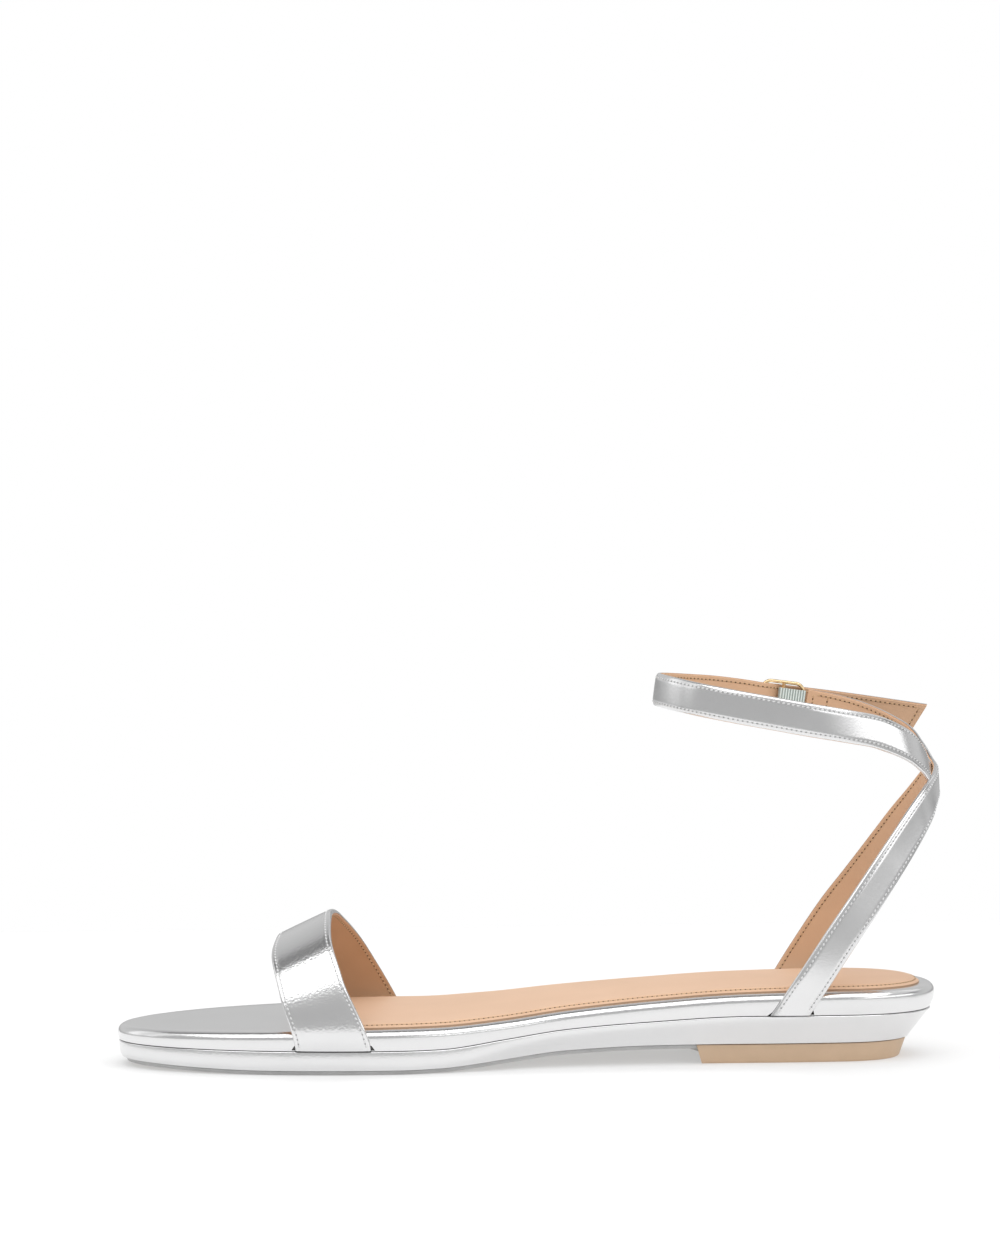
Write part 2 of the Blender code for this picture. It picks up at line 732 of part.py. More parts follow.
def elastic(finish, collection, tools):
    """Band folded round the buckle's bar, notched for the prong, up to the medial strap's end."""
    inner = BUCKLE_WIRE + FIT_GAP
    outer = inner + ELASTIC_THICKNESS
    tail = ELASTIC_TAIL_THICKNESS - outer
    start = math.asin(tail / outer)
    turns = np.linspace(np.pi - start, -np.pi / 2, ELASTIC_TURNS)
    profile = [(outer * math.cos(turn), outer * math.sin(turn)) for turn in turns]
    profile += [(-ELASTIC_LENGTH, -outer), (-ELASTIC_LENGTH, tail)]
    half = ELASTIC_WIDTH / 2
    bm = bmesh.new()
    rings = [[buckle_place(f, up, out - BAR_DROP) for f, out in profile] for up in (-half, half)]
    loops = skin(bm, rings)
    for loop in loops:
        bm.faces.new(loop)
    made = add_object("elastic", bm, finish, collection)
    ends = [buckle_place(0.0, side * ELASTIC_WIDTH, -BAR_DROP) for side in (-1, 1)]
    cutter(made, wire_mesh("elastic_bore", ends, inner, False, tools, None))
    notch = bmesh.new()
    bmesh.ops.create_cube(notch, size=1.0)
    for corner in notch.verts:
        forward = NOTCH_FRONT if corner.co.x > 0 else -NOTCH_BACK
        corner.co = buckle_place(forward, corner.co.y * NOTCH_WIDTH, corner.co.z * NOTCH_DEPTH)
    cutter(made, add_object("elastic_notch", notch, None, tools))
    return made


def stand_at_origin(pieces, tools, base):
    """Moves the parent so that the middle of the sandal's box stands on the world origin."""
    bpy.context.view_layer.update()
    depsgraph = bpy.context.evaluated_depsgraph_get()
    corners = []
    for piece in pieces:
        mesh = piece.evaluated_get(depsgraph).to_mesh()
        points = np.empty(len(mesh.vertices) * 3)
        mesh.vertices.foreach_get("co", points)
        corners.append(points.reshape(-1, 3))
    points = np.concatenate(corners)
    middle = (points.min(axis=0) + points.max(axis=0)) / 2
    base.location = (-middle[0], -middle[1], 0.0)
    for item in (*pieces, *tools.objects):
        item.parent = base


def main():
    clear_scene()
    parts = bpy.data.collections.new("flat_sandal")
    tools = bpy.data.collections.new("cutters")
    for collection in (parts, tools):
        bpy.context.scene.collection.children.link(collection)

    silver = material("silver_leather", (0.78, 0.78, 0.79), 0.28, 1.0)
    tan = material("tan_leather", (0.75, 0.52, 0.37), 0.5)
    beige = material("beige_rubber", (0.57, 0.41, 0.29), 0.6)
    grey = material("grey_sole_edge", (0.62, 0.62, 0.61), 0.5)
    gold = material("gold_metal", (0.83, 0.64, 0.34), 0.25, 1.0)
    mint = material("mint_elastic", (0.63, 0.72, 0.70), 0.7)

    board = midsole(silver, parts)
    for seat in strap_clearances(tools):
        cutter(board, seat)
    straps = ankle_strap(silver, parts, tools)
    hole = wire_mesh("prong_hole", prong_line(), PRONG_WIRE + FIT_GAP, False, tools, None)
    cutter(straps, hole)
    pieces = [
        board,
        straps,
        outsole(grey, parts, tools),
        heel_lift(beige, parts, tools),
        lower_sole(silver, parts),
        insole(tan, parts, tools),
        toe_strap(silver, parts),
        elastic(mint, parts, tools),
        buckle_frame(gold, parts, tools),
        wire_mesh("buckle_prong", prong_line(), PRONG_WIRE, False, parts, gold),
    ]
    base = bpy.data.objects.new("sandal_base", None)
    parts.objects.link(base)
    stand_at_origin(pieces, tools, base)


main()
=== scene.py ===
"""Looks of a flat sandal for the right foot: silver leather over tan, on a low stacked sole.

Shapes are worked out in shoe coordinates, in metres: u runs from the back of the heel to the toe, v from
the medial to the lateral side, z up from the floor. Points are (-u, v, z), moved to the frame's origin.
"""

import math

import bmesh
import bpy
import numpy as np
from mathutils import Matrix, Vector

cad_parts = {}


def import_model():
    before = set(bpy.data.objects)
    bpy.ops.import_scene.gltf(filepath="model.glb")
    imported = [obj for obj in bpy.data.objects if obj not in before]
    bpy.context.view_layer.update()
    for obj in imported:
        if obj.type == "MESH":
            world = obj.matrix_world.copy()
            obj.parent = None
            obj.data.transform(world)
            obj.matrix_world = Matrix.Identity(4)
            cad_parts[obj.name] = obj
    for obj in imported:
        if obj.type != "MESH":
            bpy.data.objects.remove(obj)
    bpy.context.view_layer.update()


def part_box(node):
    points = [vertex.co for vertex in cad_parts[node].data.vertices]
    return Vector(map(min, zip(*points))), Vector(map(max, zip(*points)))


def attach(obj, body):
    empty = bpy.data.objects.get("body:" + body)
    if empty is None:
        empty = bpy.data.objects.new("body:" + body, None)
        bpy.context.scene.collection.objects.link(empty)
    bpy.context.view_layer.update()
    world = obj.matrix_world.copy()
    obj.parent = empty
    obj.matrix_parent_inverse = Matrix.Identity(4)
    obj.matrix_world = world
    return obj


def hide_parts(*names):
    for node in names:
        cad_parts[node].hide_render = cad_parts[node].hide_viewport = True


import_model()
MM = 0.001


def table(columns, *rows):
    """A table of sizes given in millimetres, as named columns in metres."""
    return {name: np.array(sizes) * MM for name, sizes in zip(columns.split(), zip(*rows))}


# Sole: outline, side profile and the layers' sides
SOLE_LENGTH = 250 * MM
HEEL_CAP = 30 * MM
TOE_CAP = 80 * MM
HEEL_FULLNESS = 2.2
TOE_FULLNESS = 2.05
FIT_GAP = 0.3 * MM
OUTLINE = table(
    "from_heel medial lateral",
    (0, 27.5, 27.5),
    (40, 28.0, 28.5),
    (80, 26.5, 30.0),
    (115, 27.5, 34.0),
    (145, 32.5, 39.5),
    (170, 36.2, 41.0),
    (250, 36.5, 41.0),
)
PROFILE = table(
    "from_heel underside parting deck",
    (0, 6.2, 15.2, 22.5),
    (30, 6.2, 15.2, 22.4),
    (60, 6.2, 15.2, 21.8),
    (90, 6.1, 13.9, 19.9),
    (115, 5.2, 12.2, 17.6),
    (135, 3.3, 9.7, 15.2),
    (155, 1.6, 7.4, 13.8),
    (167, 1.4, 7.3, 13.7),
    (205, 1.4, 7.4, 13.2),
    (250, 2.6, 7.6, 12.3),
)
LOWER_SIDE = table(
    "from_heel band undercut",
    (0, 0.8, 6.6),
    (30, 1.2, 5.2),
    (90, 2.0, 4.5),
    (118, 2.2, 4.0),
    (130, 2.6, 3.0),
    (142, 3.8, 1.6),
    (155, 4.6, 0.7),
    (250, 4.0, 0.8),
)
MIDSOLE_TUCK = table("from_heel tuck", (0, 1.2), (40, 0.8), (90, 0.4), (250, 0.4))
LOWER_EDGE_ROUND = 0.3 * MM
SOLE_SEAM = 0.16 * MM
LOWER_SLOPE_LEAST = 1.5 * MM
BAND_FOOT_UNDERCUT = 0.1
BAND_BLEND = 0.45
DECK_ROUND = 2.4 * MM
TUCK_HALFWAY = 0.2

# Insole, its stitched groove, outsole and heel lift
INSOLE_INSET = 4.6 * MM
INSOLE_THICKNESS = 1.3 * MM
INSOLE_CROWN = 0.5 * MM
CROWN_FULLNESS = 0.5
INSOLE_EDGE_DROP = 1.25 * MM
INSOLE_EDGE_REACH = 3.0 * MM
INSOLE_EDGE_ROUND = 0.2 * MM
INSOLE_FRONT = 188.5 * MM
INSOLE_FRONT_SLANT = 0.275
INSOLE_GROOVE_INSET = 1.2 * MM
OUTSOLE_THICKNESS = 1.1 * MM
OUTSOLE_INSET = 1.6 * MM
OUTSOLE_EDGE_ROUND = 0.35 * MM
LIFT_STEP = 0.8 * MM
LIFT_TAPER = 1.8 * MM
LIFT_EDGE_ROUND = 0.8 * MM
BREAST_FROM_HEEL = 74.9 * MM
BREAST_RAKE = 0.18
BREAST_HOLLOW = 4.5 * MM
BREAST_HALF_WIDTH = 21 * MM

# Straps: wall, folded edge, lining and the groove that the stitches lie in
TOE_STRAP_THICKNESS = 1.9 * MM
ANKLE_STRAP_THICKNESS = 1.7 * MM
ANKLE_STRAP_WIDTH = 10.0 * MM
FOLD_ROUND = 0.65 * MM
TOE_BORDER_SLOPE = 0.0
ANKLE_BORDER_SLOPE = 0.4
LINING_THICKNESS = 0.35 * MM
LINING_INSET = 0.2 * MM
LINING_ROUND = 0.15 * MM
GROOVE_INSET = 1.3 * MM
GROOVE_DEPTH = 0.1 * MM
GROOVE_WIDTH = 0.4 * MM
STRAP_PUFF = 0.04 * MM

# Forefoot that the toe strap lies on, and the strap's edges in equal steps around it
RIDGE_SIDE = -6 * MM
RIDGE_HEIGHT = 41.6 * MM
RIDGE_FROM_HEEL = 194 * MM
RIDGE_SLOPE = -0.47
MEDIAL_FULLNESS = 2.3
LATERAL_FULLNESS = 2.0
STRAP_PROUD = 1.2 * MM
STRAP_TUCK = 1.6 * MM
STRAP_TUCK_HEIGHT = 7 * MM
STRAP_FOOT = 0.7 * MM
TOE_STRAP = table(
    "front back",
    (198.5, 176.0),
    (203.0, 184.2),
    (204.5, 187.0),
    (202.0, 185.6),
    (197.0, 180.6),
    (189.5, 171.0),
    (180.0, 158.5),
)

# Ankle that the two ankle straps lie round, and the middle of each strap
ANKLE_CENTRE = 43.5 * MM
ANKLE_HALF_LENGTH = 43.5 * MM
ANKLE_HALF_WIDTH = 28.5 * MM
ANKLE_LOW = 86 * MM
ANKLE_FLATTENING = 3
ANKLE_FRONT_LEAN = 0.13
ANKLE_LEAN = 0.55
ANKLE_LEAN_FROM = 82 * MM
ANKLE_LEAN_FULL = 92 * MM
RISER_TWIST = 0.05
RISER_TWIST_FROM = 40 * MM
RISER_TWIST_FULL = 59 * MM
RISER_TWIST_EASE = 69 * MM
RISER_TWIST_END = 81 * MM
MEDIAL_STRAP = table(
    "from_heel side height",
    (53.4, -26.6, 8.0),
    (47.9, -27.6, 16.0),
    (42.0, -29.4, 25.2),
    (33.8, -29.2, 37.6),
    (25.2, -27.4, 49.7),
    (16.4, -24.0, 62.0),
    (8.0, -18.4, 73.4),
    (3.2, -12.4, 79.4),
    (-0.8, 0.0, 84.4),
    (0.4, 6.0, 87.6),
    (2.8, 11.0, 92.2),
    (5.6, 15.0, 95.6),
    (10.3, 19.3, 98.2),
    (17.5, 23.4, 101.2),
    (25.3, 26.6, 103.4),
    (35.2, 28.6, 105.3),
)
LATERAL_STRAP = table(
    "from_heel side height",
    (48.6, 26.8, 8.0),
    (43.2, 27.9, 16.0),
    (36.9, 29.6, 25.6),
    (26.4, 28.2, 41.7),
    (19.4, 24.8, 51.6),
    (12.0, 19.8, 62.6),
    (7.1, 15.2, 70.4),
    (3.6, 10.5, 76.4),
    (1.3, 6.0, 81.6),
    (0.8, 0.0, 85.0),
    (2.9, -6.0, 87.9),
    (5.6, -12.0, 91.6),
    (10.4, -17.9, 95.9),
    (21.2, -24.5, 100.8),
    (30.5, -27.2, 102.8),
    (43.0, -28.4, 105.0),
    (54.0, -27.5, 107.0),
    (63.8, -25.1, 108.7),
    (75.2, -18.8, 110.7),
    (82.8, -9.4, 112.1),
    (85.4, 0.0, 112.5),
    (82.8, 9.4, 112.0),
    (75.2, 18.6, 111.0),
    (64.6, 24.9, 109.8),
    (54.4, 27.6, 108.3),
    (50.0, 28.3, 107.5),
    (47.9, 29.0, 107.2),
    (44.2, 31.9, 106.6),
    (42.2, 32.6, 106.3),
    (36.2, 32.6, 105.6),
    (21.0, 32.6, 103.7),
    (-2.6, 33.6, 100.4),
)
TIP_SLANT = 3.2 * MM

# Buckle and the elastic behind it
BUCKLE_FROM_HEEL = 42.6 * MM
BUCKLE_SIDE = 30.5 * MM
BUCKLE_HEIGHT = 106.4 * MM
BUCKLE_SLOPE = math.radians(7.5)
BUCKLE_LENGTH = 14.0 * MM
BUCKLE_WIDTH = 12.8 * MM
BUCKLE_CORNER = 2.6 * MM
BUCKLE_WIRE = 0.55 * MM
BAR_DROP = 0.9 * MM
PRONG_WIRE = 0.5 * MM
PRONG_REACH = 8.0 * MM
PRONG_HOOK_FROM = math.radians(330)
PRONG_HOOK_TO = math.radians(90)
ELASTIC_WIDTH = 8.2 * MM
ELASTIC_THICKNESS = 0.6 * MM
ELASTIC_TAIL_THICKNESS = 0.96 * MM
ELASTIC_LENGTH = 6.9 * MM
ELASTIC_PUCKER = 0.82 * MM
ELASTIC_PUCKER_DEPTH = 0.14 * MM
# Attribute of pucker depth, which paints shade into the elastic's valleys
VALLEY_SHADE = "valley_shade"

# Stitches
STITCH_PITCH = 1.5 * MM
STITCH_LENGTH = 1.05 * MM
STITCH_RADIUS = 0.27 * MM
STITCH_SINK = 0.06 * MM
STITCH_SKEW = math.radians(10)
HOLE_RADIUS = 0.3 * MM
HOLE_LENGTH = 0.7 * MM
HOLE_SINK = 0.13 * MM
END_ROW_INSET = 2.0 * MM
STITCH_FOOT_GAP = 1.0 * MM
STITCH_END_SHARE = 0.004

# Facets, and tolerances of the meshes
RING_POINTS = 260
DECK_STEPS = 10
ROUND_STEPS = 4
LIFT_ROUND_STEPS = 6
DECK_COLUMNS = 14
INSOLE_COLUMNS = 24
INSOLE_EDGE_STEPS = 16
FACE_POINTS = 43
FOLD_POINTS = 6
TOE_STRAP_STATIONS = 150
STRAP_STEP = 0.9 * MM
CURVE_STEPS = 24
CORNER_STEPS = 9
HOOK_STEPS = 21
ELASTIC_FOLD_STEPS = 41
ELASTIC_STEPS = 90
WIRE_RESOLUTION = 6
SEED_SIDES = 6
SEED_STEPS = 5
END_ROW_POINTS = 9
SMOOTH_ANGLE = math.radians(38)
# Faces of the sock steeper than this take its painted edge shade
SHADED_EDGE_FACE = 0.5
WELD = 0.005 * MM
NUDGE = 1e-4

# Cuts: blocks for the sole's pieces, seats for the straps and nicks beside their feet
CUT_SPAN = 60 * MM
CUT_FAR = 300 * MM
CUT_STEPS = 65
SEAT_DROP = 4 * MM
SEAT_ROWS = 5
SEAT_GAP = 0.05 * MM
NICK_REACH = 1.2 * MM
NICK_OVERLAP = 0.3 * MM
NICK_RISE = 1.6 * MM
TOE_NICK_DEPTH = 1.2 * MM
ANKLE_NICK_DEPTH = 2.6 * MM

# The frame's origin in shoe coordinates, read from two nodes
ORIGIN = Vector((
    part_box("midsole")[1].x,
    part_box("buckle_frame")[1].y - BUCKLE_SIDE - BUCKLE_WIRE,
    0.0,
))


# Curves and forms


def smooth(places, sizes, at):
    """Monotone cubic through a table's column: equal rows give a flat stretch."""
    step = np.diff(places)
    secant = np.diff(sizes) / step
    slope = np.zeros(len(sizes))
    slope[0], slope[-1] = secant[0], secant[-1]
    for i in range(1, len(secant)):
        if secant[i - 1] * secant[i] > 0:
            slope[i] = 2 / (1 / secant[i - 1] + 1 / secant[i])
    at = np.clip(at, places[0], places[-1])
    i = np.clip(np.searchsorted(places, at, side="right") - 1, 0, len(step) - 1)
    t = (at - places[i]) / step[i]
    start = (1 + 2 * t) * (1 - t) ** 2 * sizes[i] + t * (1 - t) ** 2 * step[i] * slope[i]
    end = t**2 * (3 - 2 * t) * sizes[i + 1] - t**2 * (1 - t) * step[i] * slope[i + 1]
    return start + end


def along(rows, column, u):
    return smooth(rows["from_heel"], rows[column], np.asarray(u, float))


def round_end(share, fullness):
    """Rises from 0 to 1 as a quarter of a superellipse."""
    return (1 - (1 - np.clip(share, 0, 1)) ** fullness) ** (1 / fullness)


def half_width(u, side):
    ends = round_end(u / HEEL_CAP, HEEL_FULLNESS)
    ends = ends * round_end((SOLE_LENGTH - u) / TOE_CAP, TOE_FULLNESS)
    return along(OUTLINE, side, u) * ends


def outline(inset):
    """Ring (u, v) of the sole's edge from the toe round the lateral side, drawn in by inset(u)."""
    turn = np.linspace(0, 2 * np.pi, RING_POINTS, endpoint=False)
    u = SOLE_LENGTH * (1 + np.cos(turn)) / 2
    v = np.where(turn <= np.pi, half_width(u, "lateral"), -half_width(u, "medial"))
    du = np.roll(u, -1) - np.roll(u, 1)
    dv = np.roll(v, -1) - np.roll(v, 1)
    length = np.hypot(du, dv)
    depth = inset(u)
    return u - depth * dv / length, v + depth * du / length


def ring(inset, height):
    """Outline drawn in by inset(u), at height(u), as points in space."""
    u, v = outline(inset)
    return np.stack([-u, v, height(u)], axis=1)


def fixed(size):
    return lambda u: np.full(np.shape(u), size)


def rounded(inset, height, radius, side, steps=ROUND_STEPS):
    """Rings round the edge at inset(u) and height(u): side is 1 for a top edge, -1 for a lower one."""
    rings = []
    for turn in np.linspace(min(side, 0), max(side, 0), steps) * np.pi / 2:
        reach = radius * (1 - math.cos(turn))
        rise = radius * (math.sin(turn) - side)
        rings.append(ring(lambda u: inset(u) + reach, lambda u: height(u) + rise))
    return rings


def forefoot(u, around):
    """Middle of the toe strap's wall: an arch over the forefoot, around from 0 to pi."""
    base = along(PROFILE, "parting", u) + STRAP_FOOT
    rise = RIDGE_HEIGHT + RIDGE_SLOPE * (u - RIDGE_FROM_HEEL) - base
    medial = np.cos(around) > 0
    fullness = np.where(medial, MEDIAL_FULLNESS, LATERAL_FULLNESS)
    edge = np.where(medial, -half_width(u, "medial"), half_width(u, "lateral"))
    edge = edge + np.sign(edge) * STRAP_PROUD
    up = rise * np.sin(around) ** (2 / fullness)
    tuck = STRAP_TUCK * np.clip(1 - up / STRAP_TUCK_HEIGHT, 0, 1) ** 2
    v = RIDGE_SIDE + (edge - RIDGE_SIDE) * np.abs(np.cos(around)) ** (2 / fullness)
    return np.stack([-u, v - np.sign(edge) * tuck, base + up], axis=-1)


def toe_strap_wall(share, across):
    """Middle of the toe strap's wall: share from medial to lateral, across from back -1 to front 1."""
    shares = np.linspace(0, 1, len(TOE_STRAP["front"]))
    front = smooth(shares, TOE_STRAP["front"], share)
    back = smooth(shares, TOE_STRAP["back"], share)
    return forefoot((front + back) / 2 + across * (front - back) / 2, np.pi * share)


def unit(vectors):
    return vectors / np.linalg.norm(vectors, axis=-1, keepdims=True)


def toe_strap_frame(share, across):
    """Point, run and outward direction of the toe strap's wall at each place across it."""
    across = np.asarray(across, float)
    share = np.full(across.shape, share)
    low, high = np.clip(share - NUDGE, 0, 1), np.clip(share + NUDGE, 0, 1)
    run = toe_strap_wall(high, across) - toe_strap_wall(low, across)
    reach = toe_strap_wall(share, across + NUDGE) - toe_strap_wall(share, across - NUDGE)
    return toe_strap_wall(share, across), unit(run), unit(np.cross(run, reach))


def toe_strap_half_width(share):
    ends = toe_strap_wall(np.full(2, share), np.array([-1.0, 1.0]))
    return np.linalg.norm(ends[1] - ends[0]) / 2


def spline(rows):
    """Even steps along a smooth curve through a table's points."""
    knots = np.stack([-rows["from_heel"], rows["side"], rows["height"]], axis=1)
    ends = [2 * knots[0] - knots[1], *knots, 2 * knots[-1] - knots[-2]]
    fine = []
    for a, b, c, d in zip(ends, ends[1:], ends[2:], ends[3:]):
        before, span, after = (math.sqrt(np.linalg.norm(q - p)) for p, q in ((a, b), (b, c), (c, d)))
        leave = (b - a) / before - (c - a) / (before + span) + (c - b) / span
        arrive = (c - b) / span - (d - b) / (span + after) + (d - c) / after
        t = np.linspace(0, 1, CURVE_STEPS, endpoint=False)[:, None]
        line = (1 + 2 * t) * (1 - t) ** 2 * b + t**2 * (3 - 2 * t) * c
        fine.append(line + span * (t * (1 - t) ** 2 * leave - t**2 * (1 - t) * arrive))
    fine = np.concatenate([*fine, knots[-1:]])
    walked = np.concatenate([[0], np.cumsum(np.linalg.norm(np.diff(fine, axis=0), axis=1))])
    places = np.linspace(0, walked[-1], round(walked[-1] / STRAP_STEP) + 1)
    return np.stack([np.interp(places, walked, fine[:, i]) for i in range(3)], axis=1)


def ribbon_frames(points):
    """Run, outward and across directions of a strap, which leans and turns a little with its height."""
    run = unit(np.gradient(points, axis=0))
    outward = np.zeros_like(points)
    flatter = np.clip(points[:, 2] / ANKLE_LOW, 0, 1) ** ANKLE_FLATTENING
    outward[:, 0] = flatter * (points[:, 0] + ANKLE_CENTRE) / ANKLE_HALF_LENGTH**2
    outward[:, 1] = points[:, 1] / ANKLE_HALF_WIDTH**2
    lean = np.interp(points[:, 2], (ANKLE_LEAN_FROM, ANKLE_LEAN_FULL), (0, ANKLE_LEAN))
    outward[:, 2] = lean * np.clip(outward[:, 0], 0, None)
    outward[:, 2] += ANKLE_FRONT_LEAN * np.clip(-outward[:, 0], 0, None)
    outward -= run * np.sum(outward * run, axis=1)[:, None]
    outward = unit(outward)
    heights = (RISER_TWIST_FROM, RISER_TWIST_FULL, RISER_TWIST_EASE, RISER_TWIST_END)
    twist = np.interp(points[:, 2], heights, (0, RISER_TWIST, RISER_TWIST, 0))
    outward = unit(outward + np.cross(run, outward) * twist[:, None])
    return run, outward, np.cross(run, outward)


def face_height(c, half, slope):
    """How far a strap's outer face stands above its flat level, at c from the middle."""
    groove_at = half - GROOVE_INSET
    groove = np.exp(-(((np.abs(c) - groove_at) / GROOVE_WIDTH) ** 2))
    puff = np.clip(1 - (c / groove_at) ** 2, 0, 1)
    border = slope * np.clip(np.abs(c) - groove_at, 0, None)
    return STRAP_PUFF * puff - GROOVE_DEPTH * groove - border


def strap_section(thickness, half, grow, slope):
    """Loop of (across, out) points round a strap, and each point's kind: 0 for leather, 1 for lining.

    The loop has the outer face, whose borders fall off with the slope, the folded edges and the lining.
    """
    half = half + grow
    top = thickness / 2 + grow
    turns = np.linspace(np.pi / 2 - math.atan(slope), 0, FOLD_POINTS)
    rim = half - FOLD_ROUND * (1 - math.cos(turns[0]))
    face = np.linspace(-rim, rim, FACE_POINTS)
    outer = [(c, top + face_height(c, half, slope)) for c in face]
    level = top + face_height(rim, half, slope) - FOLD_ROUND * math.sin(turns[0])
    fold = [(half - FOLD_ROUND * (1 - math.cos(t)), level + FOLD_ROUND * math.sin(t)) for t in turns[1:]]
    seam = LINING_THICKNESS - top
    fold.append((half, seam))
    back = [(-c, out) for c, out in reversed(fold)]
    edge = half - LINING_INSET
    lining = [(edge, seam), (edge, LINING_ROUND - top), (edge - LINING_ROUND, -top)]
    lining = [*lining, (0.0, -top), *((-c, out) for c, out in reversed(lining))]
    leather = [*outer, *fold]
    loop = np.array([*leather, *lining, *back])
    kinds = [0] * len(leather) + [1] * len(lining) + [0] * len(back)
    return loop, kinds


# Meshes


def put(name, data):
    made = bpy.data.objects.new(name, data)
    bpy.context.scene.collection.objects.link(made)
    return made


def add_piece(name, bm, finishes):
    """Closed mesh, moved to the frame's place, as an object with its finishes."""
    bmesh.ops.recalc_face_normals(bm, faces=bm.faces)
    bmesh.ops.translate(bm, verts=bm.verts, vec=ORIGIN)
    mesh = bpy.data.meshes.new(name)
    bm.to_mesh(mesh)
    bm.free()
    for coat in finishes:
        mesh.materials.append(coat)
    mesh.shade_smooth()
    mesh.set_sharp_from_angle(angle=SMOOTH_ANGLE)
    return put(name, mesh)


def declare(piece, slot, node=None):
    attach(piece, "root")
    if node:
        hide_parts(node)
    return piece


def skin(bm, rings, kinds=None):
    """Faces between rings of equal counts, each with its finish. Returns the rings' vertices."""
    loops = [[bm.verts.new(point) for point in points] for points in rings]
    for low, high in zip(loops, loops[1:]):
        for i in range(len(low)):
            j = (i + 1) % len(low)
            made = bm.faces.new((low[i], low[j], high[j], high[i]))
            if kinds:
                made.material_index = max(kinds[i], kinds[j])
    return loops


def close_across(bm, loop, crown=0.0, columns=1, kind=0):
    """Closes a sole-shaped loop with strips from side to side, raised in the middle by crown."""
    half = len(loop) // 2
    rows = [[loop[0]]]
    for i in range(1, half):
        left, right = loop[i], loop[-i]
        row = [left]
        for k in range(1, columns):
            share = k / columns
            point = left.co.lerp(right.co, share)
            ends = math.sin(math.pi * i / half) ** CROWN_FULLNESS
            point.z += crown * math.sin(math.pi * share) * ends
            row.append(bm.verts.new(point))
        rows.append([*row, right])
    rows.append([loop[half]])
    for near, far in zip(rows, rows[1:]):
        if len(near) == 1 or len(far) == 1:
            tip, row = (near, far) if len(near) == 1 else (far, near)
            corners = [(tip[0], a, b) for a, b in zip(row, row[1:])]
        else:
            corners = [(near[k], near[k + 1], far[k + 1], far[k]) for k in range(columns)]
        for corner in corners:
            bm.faces.new(corner).material_index = kind


def sole_layer(name, rings, finishes, bottom=0, top=0, crown=0.0, columns=1):
    """Closed solid through rings from the bottom to the top, with finishes for its two caps."""
    bm = bmesh.new()
    loops = skin(bm, rings)
    close_across(bm, loops[0], kind=bottom)
    close_across(bm, loops[-1], crown, columns, top)
    return add_piece(name, bm, finishes)


def closed_mesh(rings, kinds=None):
    """Mesh through rings of points, closed at both ends."""
    bm = bmesh.new()
    loops = skin(bm, rings, kinds)
    bm.faces.new(loops[0])
    bm.faces.new(loops[-1])
    return bm


def cut_level(bm, height):
    """Cuts a strap level above the parting line and closes the cut."""
    everything = [*bm.verts, *bm.edges, *bm.faces]
    cut = bmesh.ops.bisect_plane(
        bm, geom=everything, plane_co=(0, 0, height), plane_no=(0, 0, 1), clear_inner=True
    )
    rim = [item for item in cut["geom_cut"] if isinstance(item, bmesh.types.BMEdge)]
    bmesh.ops.edgeloop_fill(bm, edges=rim)


def keep_shading(piece):
    """Gives a piece the normals of an uncut copy, which is returned."""
    whole = put(piece.name + "_whole", piece.data.copy())
    shade = piece.modifiers.new("shading", "DATA_TRANSFER")
    shade.object = whole
    shade.use_loop_data = True
    shade.data_types_loops = {"CUSTOM_NORMAL"}
    shade.loop_mapping = "POLYINTERP_NEAREST"
    return whole


def cut_away(piece, tools, smooth_beside=False):
    """Takes the tools' shapes out of a piece, which can keep its own smooth shading beside the cuts."""
    spent = [*tools]
    for tool in tools:
        change = piece.modifiers.new(tool.name, "BOOLEAN")
        change.object = tool
        change.operation = "DIFFERENCE"
        change.solver = "EXACT"
    if smooth_beside:
        spent.append(keep_shading(piece))
    bpy.context.view_layer.update()
    depsgraph = bpy.context.evaluated_depsgraph_get()
    mesh = bpy.data.meshes.new_from_object(piece.evaluated_get(depsgraph))
    piece.modifiers.clear()
    if not smooth_beside:
        mesh.set_sharp_from_angle(angle=SMOOTH_ANGLE)
    piece.data = mesh
    for item in spent:
        bpy.data.objects.remove(item)


def wire_mesh(name, lines, radius, coat):
    """Round wires along lines of points, each with whether it is closed, as one mesh."""
    curve = bpy.data.curves.new(name, "CURVE")
    curve.dimensions = "3D"
    curve.bevel_depth = radius
    curve.bevel_resolution = WIRE_RESOLUTION
    curve.use_fill_caps = True
    for points, closed in lines:
        line = curve.splines.new("POLY")
        line.points.add(len(points) - 1)
        line.use_cyclic_u = closed
        for knot, point in zip(line.points, points):
            knot.co = (*point, 1.0)
    guide = put(name + "_line", curve)
    bpy.context.view_layer.update()
    evaluated = guide.evaluated_get(bpy.context.evaluated_depsgraph_get())
    mesh = bpy.data.meshes.new_from_object(evaluated)
    bm = bmesh.new()
    bm.from_mesh(mesh)
    bmesh.ops.remove_doubles(bm, verts=bm.verts, dist=WELD)
    bpy.data.objects.remove(guide)
    return add_piece(name, bm, [coat])


# Stitches


def seed_shape(around, along_count):
    """Points and faces of a small rounded seed of unit radius and unit half length along X."""
    points = [(-1.0, 0.0, 0.0)]
    for i in range(1, along_count):
        lean = math.pi * i / along_count
        for k in range(around):
            turn = 2 * math.pi * k / around
            reach = math.sin(lean)
            points.append((-math.cos(lean), reach * math.cos(turn), reach * math.sin(turn)))
    points.append((1.0, 0.0, 0.0))
    faces = []
    for k in range(around):
        n = (k + 1) % around
        faces.append((0, 1 + n, 1 + k))
        for i in range(along_count - 2):
            a = 1 + i * around
            faces.append((a + k, a + n, a + around + n, a + around + k))
        a = 1 + (along_count - 2) * around
        faces.append((a + k, a + n, len(points) - 1))
    return np.array(points), faces


SEED_POINTS, SEED_FACES = seed_shape(SEED_SIDES, SEED_STEPS)


